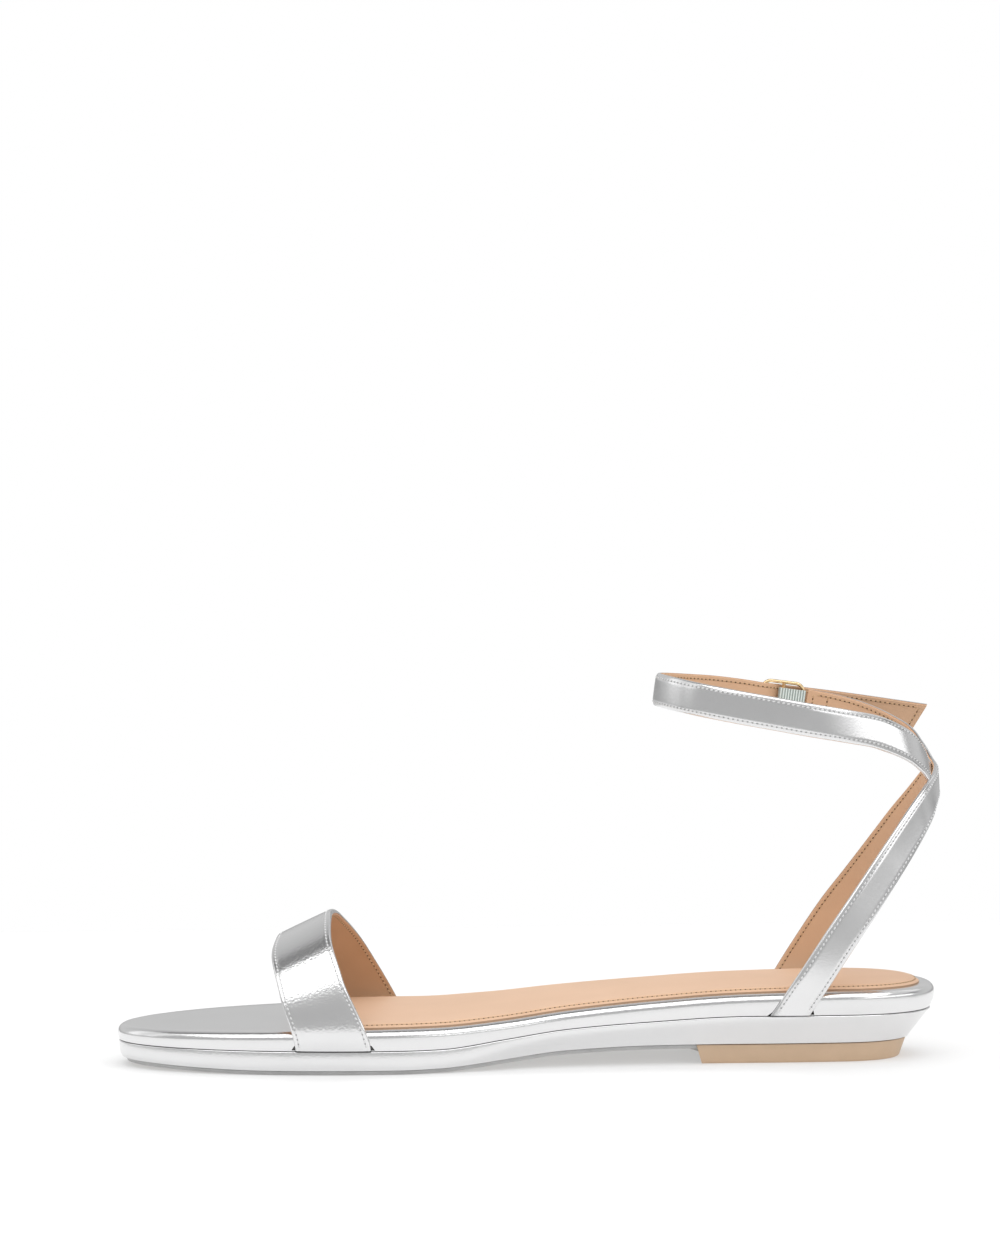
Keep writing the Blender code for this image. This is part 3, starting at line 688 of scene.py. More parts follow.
def spread(points, outward, pitch):
    """Evenly spaced stitches along a line and the gaps between: places, directions and outward sides."""
    walked = np.concatenate([[0], np.cumsum(np.linalg.norm(np.diff(points, axis=0), axis=1))])
    count = max(2, round(walked[-1] / pitch))

    def pick(rows, at):
        return np.stack([np.interp(at, walked, rows[:, i]) for i in range(3)], axis=1)

    def settle(at):
        run = pick(points, at + pitch / 4) - pick(points, at - pitch / 4)
        return pick(points, at), unit(run), unit(pick(outward, at))

    places = (np.arange(count) + 0.5) * walked[-1] / count
    gaps = np.arange(1, count) * walked[-1] / count
    return *settle(places), *settle(gaps)


def seeds(name, places, run, outward, half_length, radius, coat):
    """Joined mesh of seeds that lie along run, one at each place."""
    side = unit(np.cross(outward, run))
    out = np.cross(run, side)
    local = SEED_POINTS * np.array([half_length, radius, radius])
    points = places[:, None] + sum(
        local[None, :, i, None] * axis[:, None] for i, axis in enumerate((run, side, out))
    )
    points = points.reshape(-1, 3) + np.array(ORIGIN)
    size = len(SEED_POINTS)
    faces = [tuple(i * size + k for k in face) for i in range(len(places)) for face in SEED_FACES]
    mesh = bpy.data.meshes.new(name)
    mesh.from_pydata(points.tolist(), [], faces)
    mesh.shade_smooth()
    mesh.materials.append(coat)
    return put(name, mesh)


def sew(name, rows, thread, hole_shade, slot):
    """Stitches along rows of (points, outward), with dark needle holes between them that also paint the
    groove's shade.
    """
    sewn = [spread(points, outward, STITCH_PITCH) for points, outward in rows]
    places, run, outward, gaps, gap_run, gap_outward = (np.concatenate(part) for part in zip(*sewn))
    side = unit(np.cross(outward, run))
    skewed = run * math.cos(STITCH_SKEW) + side * math.sin(STITCH_SKEW)
    centres = places - outward * STITCH_SINK
    declare(seeds(name, centres, skewed, outward, STITCH_LENGTH / 2, STITCH_RADIUS, thread), slot)
    centres = gaps - gap_outward * HOLE_SINK
    hole_shades = seeds(name + "_holes", centres, gap_run, gap_outward, HOLE_LENGTH / 2, HOLE_RADIUS, hole_shade)
    declare(hole_shades, slot)


# Finishes: shades, roughness and the heights of the grain
NOISE_LOW = 0.3
NOISE_HIGH = 0.7
ROUGHNESS_SPREAD = 0.1
SILVER_SHADES = ((0.7954, 0.7954, 0.79831), (0.82, 0.82, 0.823))
SILVER_ROUGHNESS = (0.187, 0.264)
GOLD_SHADES = ((0.82, 0.60, 0.33), (0.92, 0.71, 0.42))
GOLD_ROUGHNESS = (0.16, 0.26)
ELASTIC_ROUGHNESS = (0.6, 0.8)
THREAD_ROUGHNESS = (0.55, 0.75)
PORE_SHARE = 0.6
MOULD_GRAIN = 0.012 * MM
GOLD_GRAIN = 0.004 * MM
WEAVE_GRAIN = 0.02 * MM
YARN_GRAIN = 0.03 * MM
FIBRE_GRAIN = 0.01 * MM


def connect(tree, node, settings):
    """Sets a node's inputs and properties, and links an input to the output that is given for it."""
    for key, value in settings.items():
        if key not in node.inputs:
            setattr(node, key, value)
        elif isinstance(value, bpy.types.NodeSocket):
            tree.links.new(value, node.inputs[key])
        else:
            node.inputs[key].default_value = value


def node_maker(tree):
    """A function that adds a node to the tree, with its settings."""
    def node(kind, **settings):
        made = tree.nodes.new(kind)
        connect(tree, made, settings)
        return made

    return node


def finish(look, name, *settings):
    """A material whose shader has the inputs that a look works out."""
    made = bpy.data.materials.new(name)
    made.use_nodes = True
    tree = made.node_tree
    connect(tree, tree.nodes["Principled BSDF"], look(node_maker(tree), *settings))
    return made


def grain(node, scale, detail=3.0, roughness=0.5):
    place = node("ShaderNodeTexCoord").outputs["Object"]
    noise = node("ShaderNodeTexNoise", Vector=place, Scale=scale, Detail=detail, Roughness=roughness)
    return noise.outputs["Fac"]


def pebbles(node, scale):
    place = node("ShaderNodeTexCoord").outputs["Object"]
    cells = node("ShaderNodeTexVoronoi", Vector=place, Scale=scale, feature="SMOOTH_F1", Smoothness=0.6)
    return cells.outputs["Distance"]


def between(node, factor, low, high):
    ends = {"From Min": NOISE_LOW, "From Max": NOISE_HIGH, "To Min": low, "To Max": high}
    return node("ShaderNodeMapRange", Value=factor, **ends).outputs["Result"]


def about(node, factor, roughness):
    """Roughness that varies a little either way."""
    change = ROUGHNESS_SPREAD * roughness
    return between(node, factor, roughness - change, roughness + change)


def tint(node, factor, low, high):
    ramp = node("ShaderNodeValToRGB", Fac=factor)
    for stop, place, shade in zip(ramp.color_ramp.elements, (NOISE_LOW, NOISE_HIGH), (low, high)):
        stop.position = place
        stop.color = (*shade, 1.0)
    return ramp.outputs["Color"]


def bumped(node, *layers):
    """The shader's normal from bump layers of (height, distance in metres), each on the one before."""
    normal = {}
    for height, distance in layers:
        bump = node("ShaderNodeBump", Height=height, Distance=distance, **normal)
        normal = {"Normal": bump.outputs["Normal"]}
    return normal


def silver_leather(node, pebble):
    """Foil-coated leather: a bright metal film over fine pebbled grain."""
    fine = grain(node, scale=2600.0, detail=4.0, roughness=0.6)
    cells = pebbles(node, scale=1500.0)
    soft = grain(node, scale=130.0, detail=2.0)
    return {
        "Base Color": tint(node, grain(node, scale=60.0), *SILVER_SHADES),
        "Roughness": between(node, fine, *SILVER_ROUGHNESS),
        "Metallic": 1.0,
        **bumped(node, (soft, pebble / 2), (cells, pebble), (fine, pebble / 2)),
    }


def leather(node, low, high, roughness, pebble):
    """Smooth dyed leather with pores and a slight unevenness of colour."""
    fine = grain(node, scale=3200.0, detail=4.0, roughness=0.65)
    cells = pebbles(node, scale=1900.0)
    return {
        "Base Color": tint(node, grain(node, scale=45.0, detail=4.0), low, high),
        "Roughness": about(node, fine, roughness),
        "Specular IOR Level": 0.35,
        **bumped(node, (cells, pebble), (fine, PORE_SHARE * pebble)),
    }


def moulded(node, low, high, roughness):
    """Moulded rubber, painted edge or flat painted shade: even, with a faint mottle."""
    fine = grain(node, scale=2200.0)
    return {
        "Base Color": tint(node, grain(node, scale=160.0, detail=4.0), low, high),
        "Roughness": about(node, fine, roughness),
        "Specular IOR Level": 0.4,
        **bumped(node, (fine, MOULD_GRAIN)),
    }


def polished_gold(node):
    fine = grain(node, scale=5200.0, detail=2.0)
    return {
        "Base Color": tint(node, grain(node, scale=700.0), *GOLD_SHADES),
        "Roughness": between(node, fine, *GOLD_ROUGHNESS),
        "Metallic": 1.0,
        **bumped(node, (fine, GOLD_GRAIN)),
    }


def ribbed(node, low, high):
    """Ribbed elastic: painted shade darkens the valleys between its puckers, with the weave's fine threads
    across.
    """
    depth = node("ShaderNodeAttribute", attribute_name=VALLEY_SHADE).outputs["Fac"]
    fine = grain(node, scale=4200.0)
    return {
        "Base Color": tint(node, depth, high, low),
        "Roughness": between(node, fine, *ELASTIC_ROUGHNESS),
        "Sheen Weight": 0.2,
        **bumped(node, (fine, WEAVE_GRAIN)),
    }


def sewing_thread(node, low, high):
    """Sewing thread: twisted yarn at a small scale, matt, with a faint sheen."""
    place = node("ShaderNodeTexCoord").outputs["Object"]
    yarn = node("ShaderNodeTexWave", Vector=place, Scale=2500.0, Distortion=2.5, Detail=2.0).outputs["Fac"]
    fine = grain(node, scale=4200.0)
    return {
        "Base Color": tint(node, yarn, low, high),
        "Roughness": between(node, fine, *THREAD_ROUGHNESS),
        "Sheen Weight": 0.2,
        **bumped(node, (yarn, YARN_GRAIN), (fine, FIBRE_GRAIN)),
    }


SILVER = finish(silver_leather, "silver_leather", 0.007 * MM)
TOE_SILVER = finish(silver_leather, "silver_toe_leather", 0.034 * MM)
SILVER_SOLE = finish(silver_leather, "silver_sole_wrap", 0.014 * MM)
LINING = finish(leather, "tan_lining", (0.66, 0.42, 0.265), (0.70, 0.455, 0.29), 0.5, 0.016 * MM)
# Darker copy of the tan lining, for inside the toe strap: painted shade
TOE_LINING_SHADE = finish(leather, "shaded_tan_toe_lining", (0.53, 0.31, 0.175), (0.58, 0.345, 0.20), 0.5, 0.016 * MM)
SOCK = finish(leather, "tan_insole", (0.68, 0.45, 0.30), (0.72, 0.48, 0.325), 0.48, 0.014 * MM)
# Darker brown for the sock's steep edge faces: painted shade along its edge
SOCK_EDGE_SHADE = finish(leather, "shaded_brown_insole_edge", (0.42, 0.265, 0.165), (0.48, 0.305, 0.195), 0.6, 0.02 * MM)
LIFT = finish(moulded, "beige_lift", (0.60, 0.435, 0.295), (0.64, 0.465, 0.32), 0.55)
# Grey edge paint of the outsole, made darker as painted shade below the sole's edge
SOLE_EDGE_SHADED = finish(moulded, "grey_sole_edge", (0.48, 0.48, 0.475), (0.54, 0.54, 0.535), 0.5)
UNDERSIDE = finish(moulded, "pale_underside", (0.55, 0.53, 0.50), (0.62, 0.60, 0.57), 0.6)
# Near-black finish for faces inside gaps: painted shade along the parting line, in the strap seats and in
# the nicks
GAP_SHADE = finish(moulded, "painted_gap_shade", (0.06, 0.058, 0.056), (0.09, 0.088, 0.085), 0.8)
GOLD = finish(polished_gold, "gold_metal")
ELASTIC = finish(ribbed, "pale_elastic", (0.30, 0.36, 0.345), (0.74, 0.83, 0.805))
THREAD_WHITE = finish(sewing_thread, "white_thread", (0.72, 0.72, 0.72), (0.88, 0.88, 0.88))
THREAD_BROWN = finish(sewing_thread, "brown_thread", (0.56, 0.36, 0.19), (0.72, 0.49, 0.28))
# Dark seeds between the stitches: needle holes, darkened further as painted groove shade
HOLE_SHADE_GREY = finish(moulded, "needle_hole_shade_grey", (0.36, 0.36, 0.36), (0.42, 0.42, 0.42), 0.8)
HOLE_SHADE_BROWN = finish(moulded, "needle_hole_shade_brown", (0.10, 0.05, 0.025), (0.14, 0.075, 0.04), 0.8)


# Pieces of the sole


def level(column, lift=0.0):
    return lambda u: along(PROFILE, column, u) + lift


def tuck(u):
    return along(MIDSOLE_TUCK, "tuck", u)


def sole_inset(u):
    """How far the lower sole's underside is set in from the sole's outline."""
    return along(LOWER_SIDE, "undercut", u) + tuck(u)


def lower_sole():
    """Drawn in towards the floor, with a soft bend below its upright band."""
    edge = LOWER_EDGE_ROUND
    underside = level("underside")
    top = level("parting", -SOLE_SEAM / 2)

    def side(t):
        """Inset and height along the side, from the underside's edge 0 over the bend 1 to the top 2."""
        def inset(u):
            undercut = along(LOWER_SIDE, "undercut", u)
            return tuck(u) + undercut * np.interp(t, (0, 1, 2), (1, BAND_FOOT_UNDERCUT, 0))

        def height(u):
            tallest = top(u) - underside(u) - LOWER_SLOPE_LEAST
            foot = top(u) - np.minimum(along(LOWER_SIDE, "band", u), tallest)
            low, high = underside(u) + edge, top(u) - edge
            return low + (foot - low) * min(t, 1) + (high - foot) * max(t - 1, 0)

        return inset, height

    def bend(t):
        start, middle, end = side(1 - BAND_BLEND), side(1), side(1 + BAND_BLEND)
        shares = ((1 - t) ** 2, 2 * t * (1 - t), t**2)

        def mix(which):
            return lambda u: sum(s * p[which](u) for s, p in zip(shares, (start, middle, end)))

        return ring(mix(0), mix(1))

    rings = rounded(sole_inset, underside, edge, -1)
    rings += [bend(t) for t in np.linspace(0, 1, ROUND_STEPS + 2)]
    rings += rounded(tuck, top, edge, 1)
    # The top cap, inside the parting gap, takes the painted gap shade
    piece = sole_layer("lower_sole_wrap", rings, [SILVER_SOLE, GAP_SHADE], top=1)
    return declare(piece, "silver_leather", "lower_sole")


def strap_seats():
    """Grown copies of the straps, which make room for them in the midsole's side."""
    tools = []
    # The seats and nicks leave faces in the midsole that take the painted gap shade
    below = np.array([0.0, 0.0, SEAT_DROP])
    rings = toe_strap_rings(SEAT_GAP)[0]
    rings = [rings[0] - below, *rings, rings[-1] - below]
    tools.append(add_piece("toe_strap_seat", closed_mesh(rings), [GAP_SHADE]))
    for name, rows in (("medial_seat", MEDIAL_STRAP), ("lateral_seat", LATERAL_STRAP)):
        low = {column: sizes[:SEAT_ROWS] for column, sizes in rows.items()}
        rings = ankle_strap_rings(low, SEAT_GAP)[0]
        tools.append(add_piece(name, closed_mesh(rings), [GAP_SHADE]))
        points = spline(low)
        run, outward, across = ribbon_frames(points)
        for edge in (-1, 1):
            line = points + across * edge * ANKLE_STRAP_WIDTH / 2 + outward * ANKLE_STRAP_THICKNESS / 2
            i = np.searchsorted(line[:, 2], level("parting")(-points[0, 0]))
            away = across[i] * edge
            tools.append(foot_nick(name, line[i], away, run[i], outward[i] * ANKLE_NICK_DEPTH))
    for share, upward in ((0.0, 1), (1.0, -1)):
        for edge in (-1, 1):
            corner, run, outward = (rows[0] for rows in toe_strap_frame(share, [edge]))
            corner = corner + outward * TOE_STRAP_THICKNESS / 2
            away = np.array([-edge, 0.0, 0.0])
            tools.append(foot_nick("toe_strap_seat", corner, away, upward * run, outward * TOE_NICK_DEPTH))
    return tools


def foot_nick(name, corner, away, run, depth):
    """Small wedge beside a strap's foot, where the midsole's leather is folded in, with its faces painted
    dark as shade.
    """
    away = unit(away * np.array([1.0, 1.0, 0.0]))
    triangle = np.array([-away * NICK_OVERLAP, away * NICK_REACH, run * NICK_RISE])
    triangle[:, 2] -= (FIT_GAP, FIT_GAP, 0.0)
    bm = closed_mesh([corner + triangle - depth, corner + triangle + depth])
    # All faces of the wedge take the painted gap shade
    for face in bm.faces:
        face.material_index = 1
    return add_piece(name + "_nick", bm, [SILVER_SOLE, GAP_SHADE])


def midsole():
    """Board wrapped in silver leather, with a rounded top edge and room for the straps."""
    base = level("parting", SOLE_SEAM / 2)
    deck = level("deck")
    rings = rounded(tuck, base, LOWER_EDGE_ROUND, -1)
    rings.append(ring(lambda u: TUCK_HALFWAY * tuck(u), lambda u: (base(u) + deck(u) - DECK_ROUND) / 2))
    rings += rounded(fixed(0.0), deck, DECK_ROUND, 1, DECK_STEPS)
    # The underside, inside the parting gap, takes the painted gap shade
    piece = sole_layer("midsole_wrap", rings, [SILVER_SOLE, GAP_SHADE], bottom=1, columns=DECK_COLUMNS)
    cut_away(piece, strap_seats(), smooth_beside=True)
    return declare(piece, "silver_leather", "midsole")


def end_block(name, end, far):
    """Block that cuts a sole piece off across: from the line end(v, z) to far along the sole."""
    sides = np.linspace(-CUT_SPAN, CUT_SPAN, CUT_STEPS)
    rings = []
    for height in (-CUT_SPAN, CUT_SPAN):
        line = [(-end(side, height), side, height) for side in sides]
        rings.append([*line, (-far, CUT_SPAN, height), (-far, -CUT_SPAN, height)])
    return add_piece(name, closed_mesh(rings), [UNDERSIDE])


def insole_front(v, _):
    """Distance of the insole's slanting front edge from the back of the heel."""
    return INSOLE_FRONT - INSOLE_FRONT_SLANT * v


def insole_level(lift):
    return level("deck", FIT_GAP + INSOLE_THICKNESS + lift)


def insole():
    """Tan sock that thins towards its cut edge, with a stitched groove along it."""
    edge = INSOLE_EDGE_ROUND

    def drop(reach):
        """How far the sock's face lies below its level, at reach from its edge."""
        thin = INSOLE_EDGE_DROP * (1 - min(reach / INSOLE_EDGE_REACH, 1)) ** 2
        return thin + GROOVE_DEPTH * math.exp(-(((reach - INSOLE_GROOVE_INSET) / GROOVE_WIDTH) ** 2))

    rings = [ring(fixed(INSOLE_INSET), insole_level(-INSOLE_THICKNESS - FIT_GAP))]
    rings += rounded(fixed(INSOLE_INSET), insole_level(-drop(edge)), edge, 1)
    for reach in np.linspace(edge, INSOLE_EDGE_REACH, INSOLE_EDGE_STEPS)[1:]:
        rings.append(ring(fixed(INSOLE_INSET + reach), insole_level(-drop(reach))))
    piece = sole_layer("insole_sock", rings, [SOCK, SOCK_EDGE_SHADE], crown=INSOLE_CROWN, columns=INSOLE_COLUMNS)
    cut_away(piece, [end_block("insole_front", insole_front, CUT_FAR)])
    # Steep faces take the darker brown: painted shade along the sock's edge
    for face in piece.data.polygons:
        face.material_index = int(abs(face.normal.z) < SHADED_EDGE_FACE)
    declare(piece, "tan_leather", "insole")

    line = ring(fixed(INSOLE_INSET + INSOLE_GROOVE_INSET), insole_level(-drop(INSOLE_GROOVE_INSET)))
    line = np.roll(line, -RING_POINTS // 4, axis=0)
    line = line[-line[:, 0] < insole_front(line[:, 1], 0)]
    upward = np.tile([0.0, 0.0, 1.0], (len(line), 1))
    sew("insole_stitches", [(line, upward)], THREAD_BROWN, HOLE_SHADE_BROWN, "tan_leather")


def breast(v, z):
    """Distance of the heel lift's hollow front face from the back of the heel."""
    hollow = BREAST_HOLLOW * (1 - min(abs(v) / BREAST_HALF_WIDTH, 1) ** 2)
    return BREAST_FROM_HEEL + BREAST_RAKE * z - hollow


def outsole():
    """Thin leaf with a grey edge, darkened as painted shade, and a paler face, which ends at the breast of
    the heel lift.
    """
    def inset(u):
        return sole_inset(u) + OUTSOLE_INSET

    face = level("underside", -FIT_GAP - OUTSOLE_THICKNESS)
    rings = rounded(inset, face, OUTSOLE_EDGE_ROUND, -1)
    rings.append(ring(inset, level("underside", -FIT_GAP)))
    piece = sole_layer("outsole_leaf", rings, [SOLE_EDGE_SHADED, UNDERSIDE], bottom=1)
    back = end_block("outsole_back", lambda v, z: breast(v, z) + FIT_GAP, -CUT_FAR)
    cut_away(piece, [back])
    return declare(piece, "sole_edge", "outsole")


def heel_lift():
    """Low block that tapers to the floor, cut off at its breast."""
    def foot(u):
        return sole_inset(u) + LIFT_STEP + LIFT_TAPER

    rings = rounded(foot, fixed(0.0), LIFT_EDGE_ROUND, -1, LIFT_ROUND_STEPS)
    top = level("underside", -FIT_GAP)(0.0)
    rings.append(ring(lambda u: sole_inset(u) + LIFT_STEP, fixed(top)))
    piece = sole_layer("heel_lift_block", rings, [LIFT, UNDERSIDE])
    cut_away(piece, [end_block("lift_front", breast, CUT_FAR)])
    return declare(piece, "lift_rubber", "heel_lift")


# Straps


def toe_strap_rings(grow=0.0):
    """Rings of the toe strap, or of the clearance round it, and the finish of each point."""
    rings = []
    for share in np.linspace(0, 1, TOE_STRAP_STATIONS):
        half = toe_strap_half_width(share)
        section, kinds = strap_section(TOE_STRAP_THICKNESS, half, grow, TOE_BORDER_SLOPE)
        point, _, outward = toe_strap_frame(share, section[:, 0] / half)
        rings.append(point + outward * section[:, 1:])
    return rings, kinds


def toe_strap():
    rings, kinds = toe_strap_rings()
    piece = add_piece("toe_strap_leather", closed_mesh(rings, kinds), [TOE_SILVER, TOE_LINING_SHADE])
    declare(piece, "silver_leather", "toe_strap")

    shares = np.linspace(STITCH_END_SHARE, 1 - STITCH_END_SHARE, 2 * TOE_STRAP_STATIONS)
    for name, face, thread, hole_shade, slot in strap_faces("toe_strap", TOE_STRAP_THICKNESS):
        rows = []
        for edge in (-1, 1):
            places = [
                toe_strap_frame(share, [edge * (1 - GROOVE_INSET / toe_strap_half_width(share))])
                for share in shares
            ]
            points = np.array([place[0][0] for place in places])
            outward = np.array([place[2][0] for place in places])
            rows.append((points + outward * face, np.sign(face) * outward))
        sew(name, rows, thread, hole_shade, slot)


def strap_faces(name, thickness):
    """The outer and the lining side of a strap: name, level and thread of the stitches there, and the
    finish of their needle holes, darkened as painted shade.
    """
    outer = thickness / 2 - GROOVE_DEPTH / 2
    return (
        (name + "_stitches", outer, THREAD_WHITE, HOLE_SHADE_GREY, "silver_leather"),
        (name + "_lining_stitches", -thickness / 2, THREAD_BROWN, HOLE_SHADE_BROWN, "tan_leather"),
    )


def ankle_strap_rings(rows, grow=0.0, tip_slant=0.0):
    """Rings of one ankle strap, and each point's finish. A slanting tip moves the last rings' edges."""
    points = spline(rows)
    run, outward, across = ribbon_frames(points)
    half = ANKLE_STRAP_WIDTH / 2
    section, kinds = strap_section(ANKLE_STRAP_THICKNESS, half, grow, ANKLE_BORDER_SLOPE)
    rings = []
    for i, point in enumerate(points):
        left = np.linalg.norm(points[-1] - point)
        lean = tip_slant * max(0.0, 1 - left / (2 * tip_slant)) if tip_slant else 0.0
        shift = lean * (1 - section[:, :1] / half) / 2
        rings.append(point + across[i] * section[:, :1] + outward[i] * section[:, 1:] - run[i] * shift)
    return rings, kinds


def ankle_strap(name, rows, tip_slant, end_rows):
    """One ankle strap, cut level at the parting line, with rows of stitches along and across it."""
    foot = along(PROFILE, "parting", MEDIAL_STRAP["from_heel"][1]) + FIT_GAP
    rings, kinds = ankle_strap_rings(rows, tip_slant=tip_slant)
    bm = closed_mesh(rings, kinds)
    cut_level(bm, foot)
    piece = add_piece(name, bm, [SILVER, LINING])
    declare(piece, "silver_leather", "ankle_strap")

    points = spline(rows)
    run, outward, across = ribbon_frames(points)
    half = ANKLE_STRAP_WIDTH / 2
    reach = half - GROOVE_INSET
    walked = np.arange(len(points)) * STRAP_STEP
    for sewn, face, thread, hole_shade, slot in strap_faces(name, ANKLE_STRAP_THICKNESS):
        out = np.sign(face) * outward
        lines = []
        for edge in (-1, 1):
            stop = END_ROW_INSET + tip_slant * (1 - edge * reach / half) / 2
            keep = walked < walked[-1] - stop
            line = points + across * edge * reach + outward * face
            keep &= line[:, 2] > foot + STITCH_FOOT_GAP
            lines.append((line[keep], out[keep]))
        for inset in end_rows:
            i = len(points) - 1 - round(inset / STRAP_STEP)
            shares = np.linspace(-1, 1, END_ROW_POINTS)[:, None]
            slant = run[i] * tip_slant * (1 - shares * reach / half) / 2
            line = points[i] + across[i] * shares * reach + outward[i] * face - slant
            lines.append((line, np.tile(out[i], (len(line), 1))))
        sew(sewn, lines, thread, hole_shade, slot)


# Buckle and elastic


def buckle_place(forward, up, out):
    """Point near the buckle: forward along the strap, up across it, out from the ankle."""
    ahead = forward * math.cos(BUCKLE_SLOPE) - up * math.sin(BUCKLE_SLOPE)
    height = forward * math.sin(BUCKLE_SLOPE) + up * math.cos(BUCKLE_SLOPE)
    return (-BUCKLE_FROM_HEEL - ahead, BUCKLE_SIDE + out, BUCKLE_HEIGHT + height)


def buckle():
    """Wire frame with its middle bar, and the prong hooked round the bar."""
    reach = BUCKLE_LENGTH / 2 - BUCKLE_WIRE - BUCKLE_CORNER
    rise = BUCKLE_WIDTH / 2 - BUCKLE_WIRE - BUCKLE_CORNER
    line = []
    for corner, (side, top) in enumerate(((1, 1), (-1, 1), (-1, -1), (1, -1))):
        for turn in np.linspace(0, np.pi / 2, CORNER_STEPS) + corner * np.pi / 2:
            forward = side * reach + BUCKLE_CORNER * math.cos(turn)
            up = top * rise + BUCKLE_CORNER * math.sin(turn)
            line.append(buckle_place(forward, up, 0.0))
    half_bar = BUCKLE_WIDTH / 2 - BUCKLE_WIRE
    bar = [buckle_place(0.0, side * half_bar, -BAR_DROP) for side in (-1, 1)]
    loop = wire_mesh("buckle_loop", [(line, True), (bar, False)], BUCKLE_WIRE, GOLD)
    declare(loop, "gold_metal", "buckle_frame")

    hook = BUCKLE_WIRE + PRONG_WIRE + FIT_GAP
    line = []
    for turn in np.linspace(PRONG_HOOK_FROM, PRONG_HOOK_TO, HOOK_STEPS):
        line.append(buckle_place(hook * math.cos(turn), 0.0, hook * math.sin(turn) - BAR_DROP))
    line.append(buckle_place(PRONG_REACH, 0.0, hook))
    prong = wire_mesh("buckle_tongue", [(line, False)], PRONG_WIRE, GOLD)
    declare(prong, "gold_metal", "buckle_prong")


def elastic():
    """Ribbed band folded round the buckle's bar, puckered up to the medial strap's end."""
    outer = BUCKLE_WIRE + FIT_GAP + ELASTIC_THICKNESS
    tail = ELASTIC_TAIL_THICKNESS - outer
    start = math.asin(tail / outer)

    def pucker(forward):
        return ELASTIC_PUCKER_DEPTH * (math.cos(2 * math.pi * forward / ELASTIC_PUCKER) - 1) / 2

    profile = []
    for turn in np.linspace(np.pi - start, -np.pi / 2, ELASTIC_FOLD_STEPS):
        profile.append((outer * math.cos(turn), outer * math.sin(turn)))
    steps = np.linspace(0, ELASTIC_LENGTH, ELASTIC_STEPS)[1:]
    profile += [(-step, -outer - pucker(step)) for step in steps]
    turn_back = [step for step in steps[::-1] if step > outer * math.cos(start)]
    profile += [(-step, tail + pucker(step)) for step in turn_back]
    half = ELASTIC_WIDTH / 2
    rings = [[buckle_place(f, up, out - BAR_DROP) for f, out in profile] for up in (-half, half)]
    piece = add_piece("elastic_band", closed_mesh(rings), [ELASTIC])
    # Pucker depth at each point, which the elastic's finish turns into painted shade in the valleys
    shade_depths = [-pucker(forward) / ELASTIC_PUCKER_DEPTH for forward, _ in profile]
    valley_shade = piece.data.attributes.new(VALLEY_SHADE, "FLOAT", "POINT")
    valley_shade.data.foreach_set("value", shade_depths * len(rings))
    return declare(piece, "elastic_band", "elastic")


# Stage: camera, floor, surroundings and softboxes, in metres and degrees
CAMERA_AZIMUTH = -6.2
CAMERA_DISTANCE = 1.860
CAMERA_RISE = 0.190
CAMERA_LENS = 175.9
CAMERA_SENSOR = 36.0
CAMERA_SHIFT = (-0.0223, 0.190)
CAMERA_TARGET = (0.125, 0.0, 0.060)
WHITE = (1.0, 1.0, 1.0, 1.0)
FLOOR_LEFT = 0.45
FLOOR_RIGHT = 0.25
FLOOR_FRONT = 0.43
FLOOR_BACK = 0.35
FLOOR_SHADES = ((0.54, 0.54, 0.54), (0.56, 0.56, 0.56))
FLOOR_ROUGHNESS = 0.9
FLOOR_GLOW = 0.36
LIGHT_TARGET = (0.0, 0.0, 0.05)

# Angle and light of the surroundings: 0 is level behind the sandal, 180 level on the camera's side
HALF_TURN = 180
BANDS = (
    (0, 0.36),
    (3, 0.42),
    (8, 0.66),
    (30, 0.64),
    (60, 0.53),
    (74, 0.2),
    (94, 0.14),
    (104, 0.5),
    (180, 0.49),
)

# Azimuth, elevation, distance, size and light of each softbox, and whether the silver mirrors it
SOFTBOXES = {
    "front_softbox": (0, 61, 2.0, (3.2, 1.7), 1.7, True),
    "right_softbox": (56, 16.5, 2.2, (3.0, 0.5), 1.25, True),
    "heel_softbox": (105, 48, 2.0, (1.4, 1.2), 0.5, True),
    "toe_softbox": (-97, 30, 2.0, (1.5, 1.6), 0.62, True),
    "top_softbox": (180, 66, 1.6, (1.6, 1.0), 2.1, False),
}


def put_facing(name, data, target, azimuth, elevation, distance):
    """Object that faces the target. Azimuth 0 is the camera's side, towards +X positive."""
    azimuth, elevation = math.radians(azimuth), math.radians(elevation)
    away = Vector((
        math.sin(azimuth) * math.cos(elevation),
        -math.cos(azimuth) * math.cos(elevation),
        math.sin(elevation),
    ))
    made = put(name, data)
    made.location = Vector(target) + distance * away
    made.rotation_euler = away.to_track_quat("Z", "Y").to_euler()
    return made


def camera():
    lens = bpy.data.cameras.new("camera")
    lens.lens = CAMERA_LENS
    lens.sensor_width = CAMERA_SENSOR
    lens.shift_x, lens.shift_y = CAMERA_SHIFT
    u, v, z = CAMERA_TARGET
    target = ORIGIN + Vector((-u, v, z))
    elevation = math.degrees(math.asin(CAMERA_RISE / CAMERA_DISTANCE))
    made = put_facing("camera", lens, target, CAMERA_AZIMUTH, elevation, CAMERA_DISTANCE)
    bpy.context.scene.camera = made


def pale_floor(node):
    return {
        "Base Color": tint(node, grain(node, scale=3.0), *FLOOR_SHADES),
        "Roughness": FLOOR_ROUGHNESS,
        "Specular IOR Level": 0.0,
        "Emission Color": WHITE,
        "Emission Strength": FLOOR_GLOW,
    }


def floor():
    near = [(-FLOOR_LEFT, -FLOOR_FRONT, 0.0), (FLOOR_RIGHT, -FLOOR_FRONT, 0.0)]
    far = [(FLOOR_RIGHT, FLOOR_BACK, 0.0), (-FLOOR_LEFT, FLOOR_BACK, 0.0)]
    mesh = bpy.data.meshes.new("floor")
    mesh.from_pydata([*near, *far], [], [(0, 1, 2, 3)])
    mesh.materials.append(finish(pale_floor, "pale_floor"))
    put("floor", mesh)


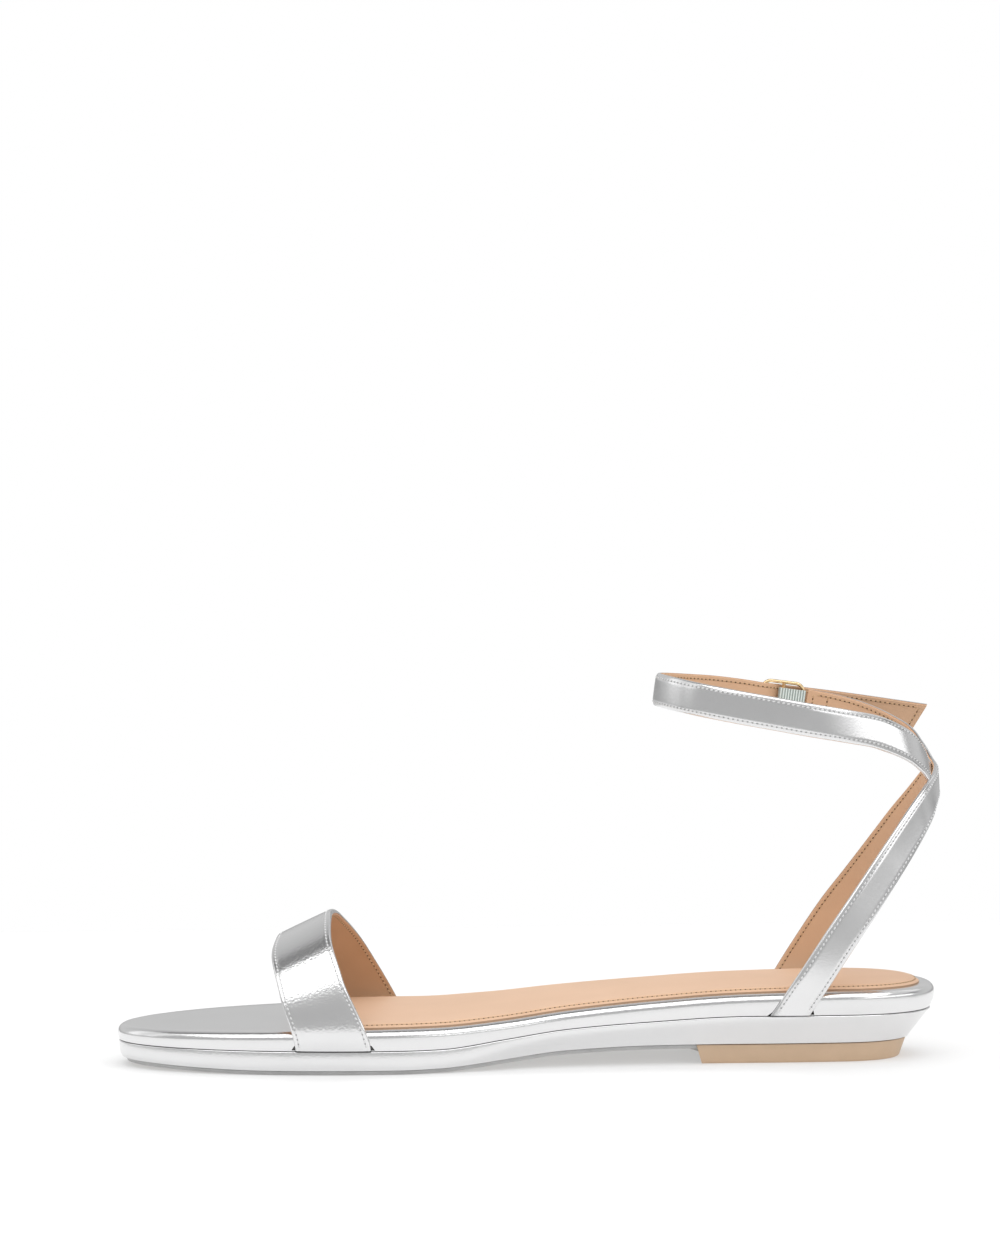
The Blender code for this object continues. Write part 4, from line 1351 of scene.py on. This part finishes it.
def world():
    """Even studio surroundings: white behind the sandal for the camera, soft grey bands for the light."""
    made = bpy.data.worlds.new("studio")
    bpy.context.scene.world = made
    made.use_nodes = True
    tree = made.node_tree
    node = node_maker(tree)
    split = node("ShaderNodeSeparateXYZ", Vector=node("ShaderNodeTexCoord").outputs["Generated"])
    turn = node("ShaderNodeMath", operation="ARCTAN2", Value=split.outputs["Z"])
    tree.links.new(split.outputs["Y"], turn.inputs[1])
    above = node("ShaderNodeMath", operation="ABSOLUTE", Value=turn.outputs["Value"])
    share = node("ShaderNodeMath", operation="DIVIDE", Value=above.outputs["Value"])
    share.inputs[1].default_value = math.pi
    ramp = node("ShaderNodeValToRGB", Fac=share.outputs["Value"])
    stops = ramp.color_ramp.elements
    while len(stops) > 1:
        stops.remove(stops[0])
    for i, (angle, light) in enumerate(BANDS):
        stop = stops[0] if i == 0 else stops.new(angle / HALF_TURN)
        stop.position = angle / HALF_TURN
        stop.color = (light, light, light, 1.0)
    seen = node("ShaderNodeLightPath").outputs["Is Camera Ray"]
    mix = node("ShaderNodeMix", data_type="RGBA", Factor=seen)
    colours = [socket for socket in mix.inputs if socket.type == "RGBA"]
    tree.links.new(ramp.outputs["Color"], colours[0])
    colours[1].default_value = WHITE
    result = [socket for socket in mix.outputs if socket.type == "RGBA"][0]
    tree.links.new(result, tree.nodes["Background"].inputs["Color"])


def softbox(name, azimuth, elevation, distance, size, light, mirrored):
    """Rectangular light that faces the sandal, unseen by the camera."""
    lamp = bpy.data.lights.new(name, "AREA")
    lamp.shape = "RECTANGLE"
    lamp.size, lamp.size_y = size
    lamp.energy = light * math.pi * size[0] * size[1]
    made = put_facing(name, lamp, LIGHT_TARGET, azimuth, elevation, distance)
    made.visible_camera = False
    made.visible_glossy = mirrored


def studio():
    floor()
    world()
    for name, settings in SOFTBOXES.items():
        softbox(name, *settings)
    camera()
    bpy.context.scene.view_settings.view_transform = "Standard"


lower_sole()
midsole()
insole()
outsole()
heel_lift()
toe_strap()
ankle_strap("medial_strap", MEDIAL_STRAP, 0.0, (END_ROW_INSET, 3 * END_ROW_INSET))
ankle_strap("lateral_strap", LATERAL_STRAP, TIP_SLANT, (END_ROW_INSET,))
buckle()
elastic()
studio()
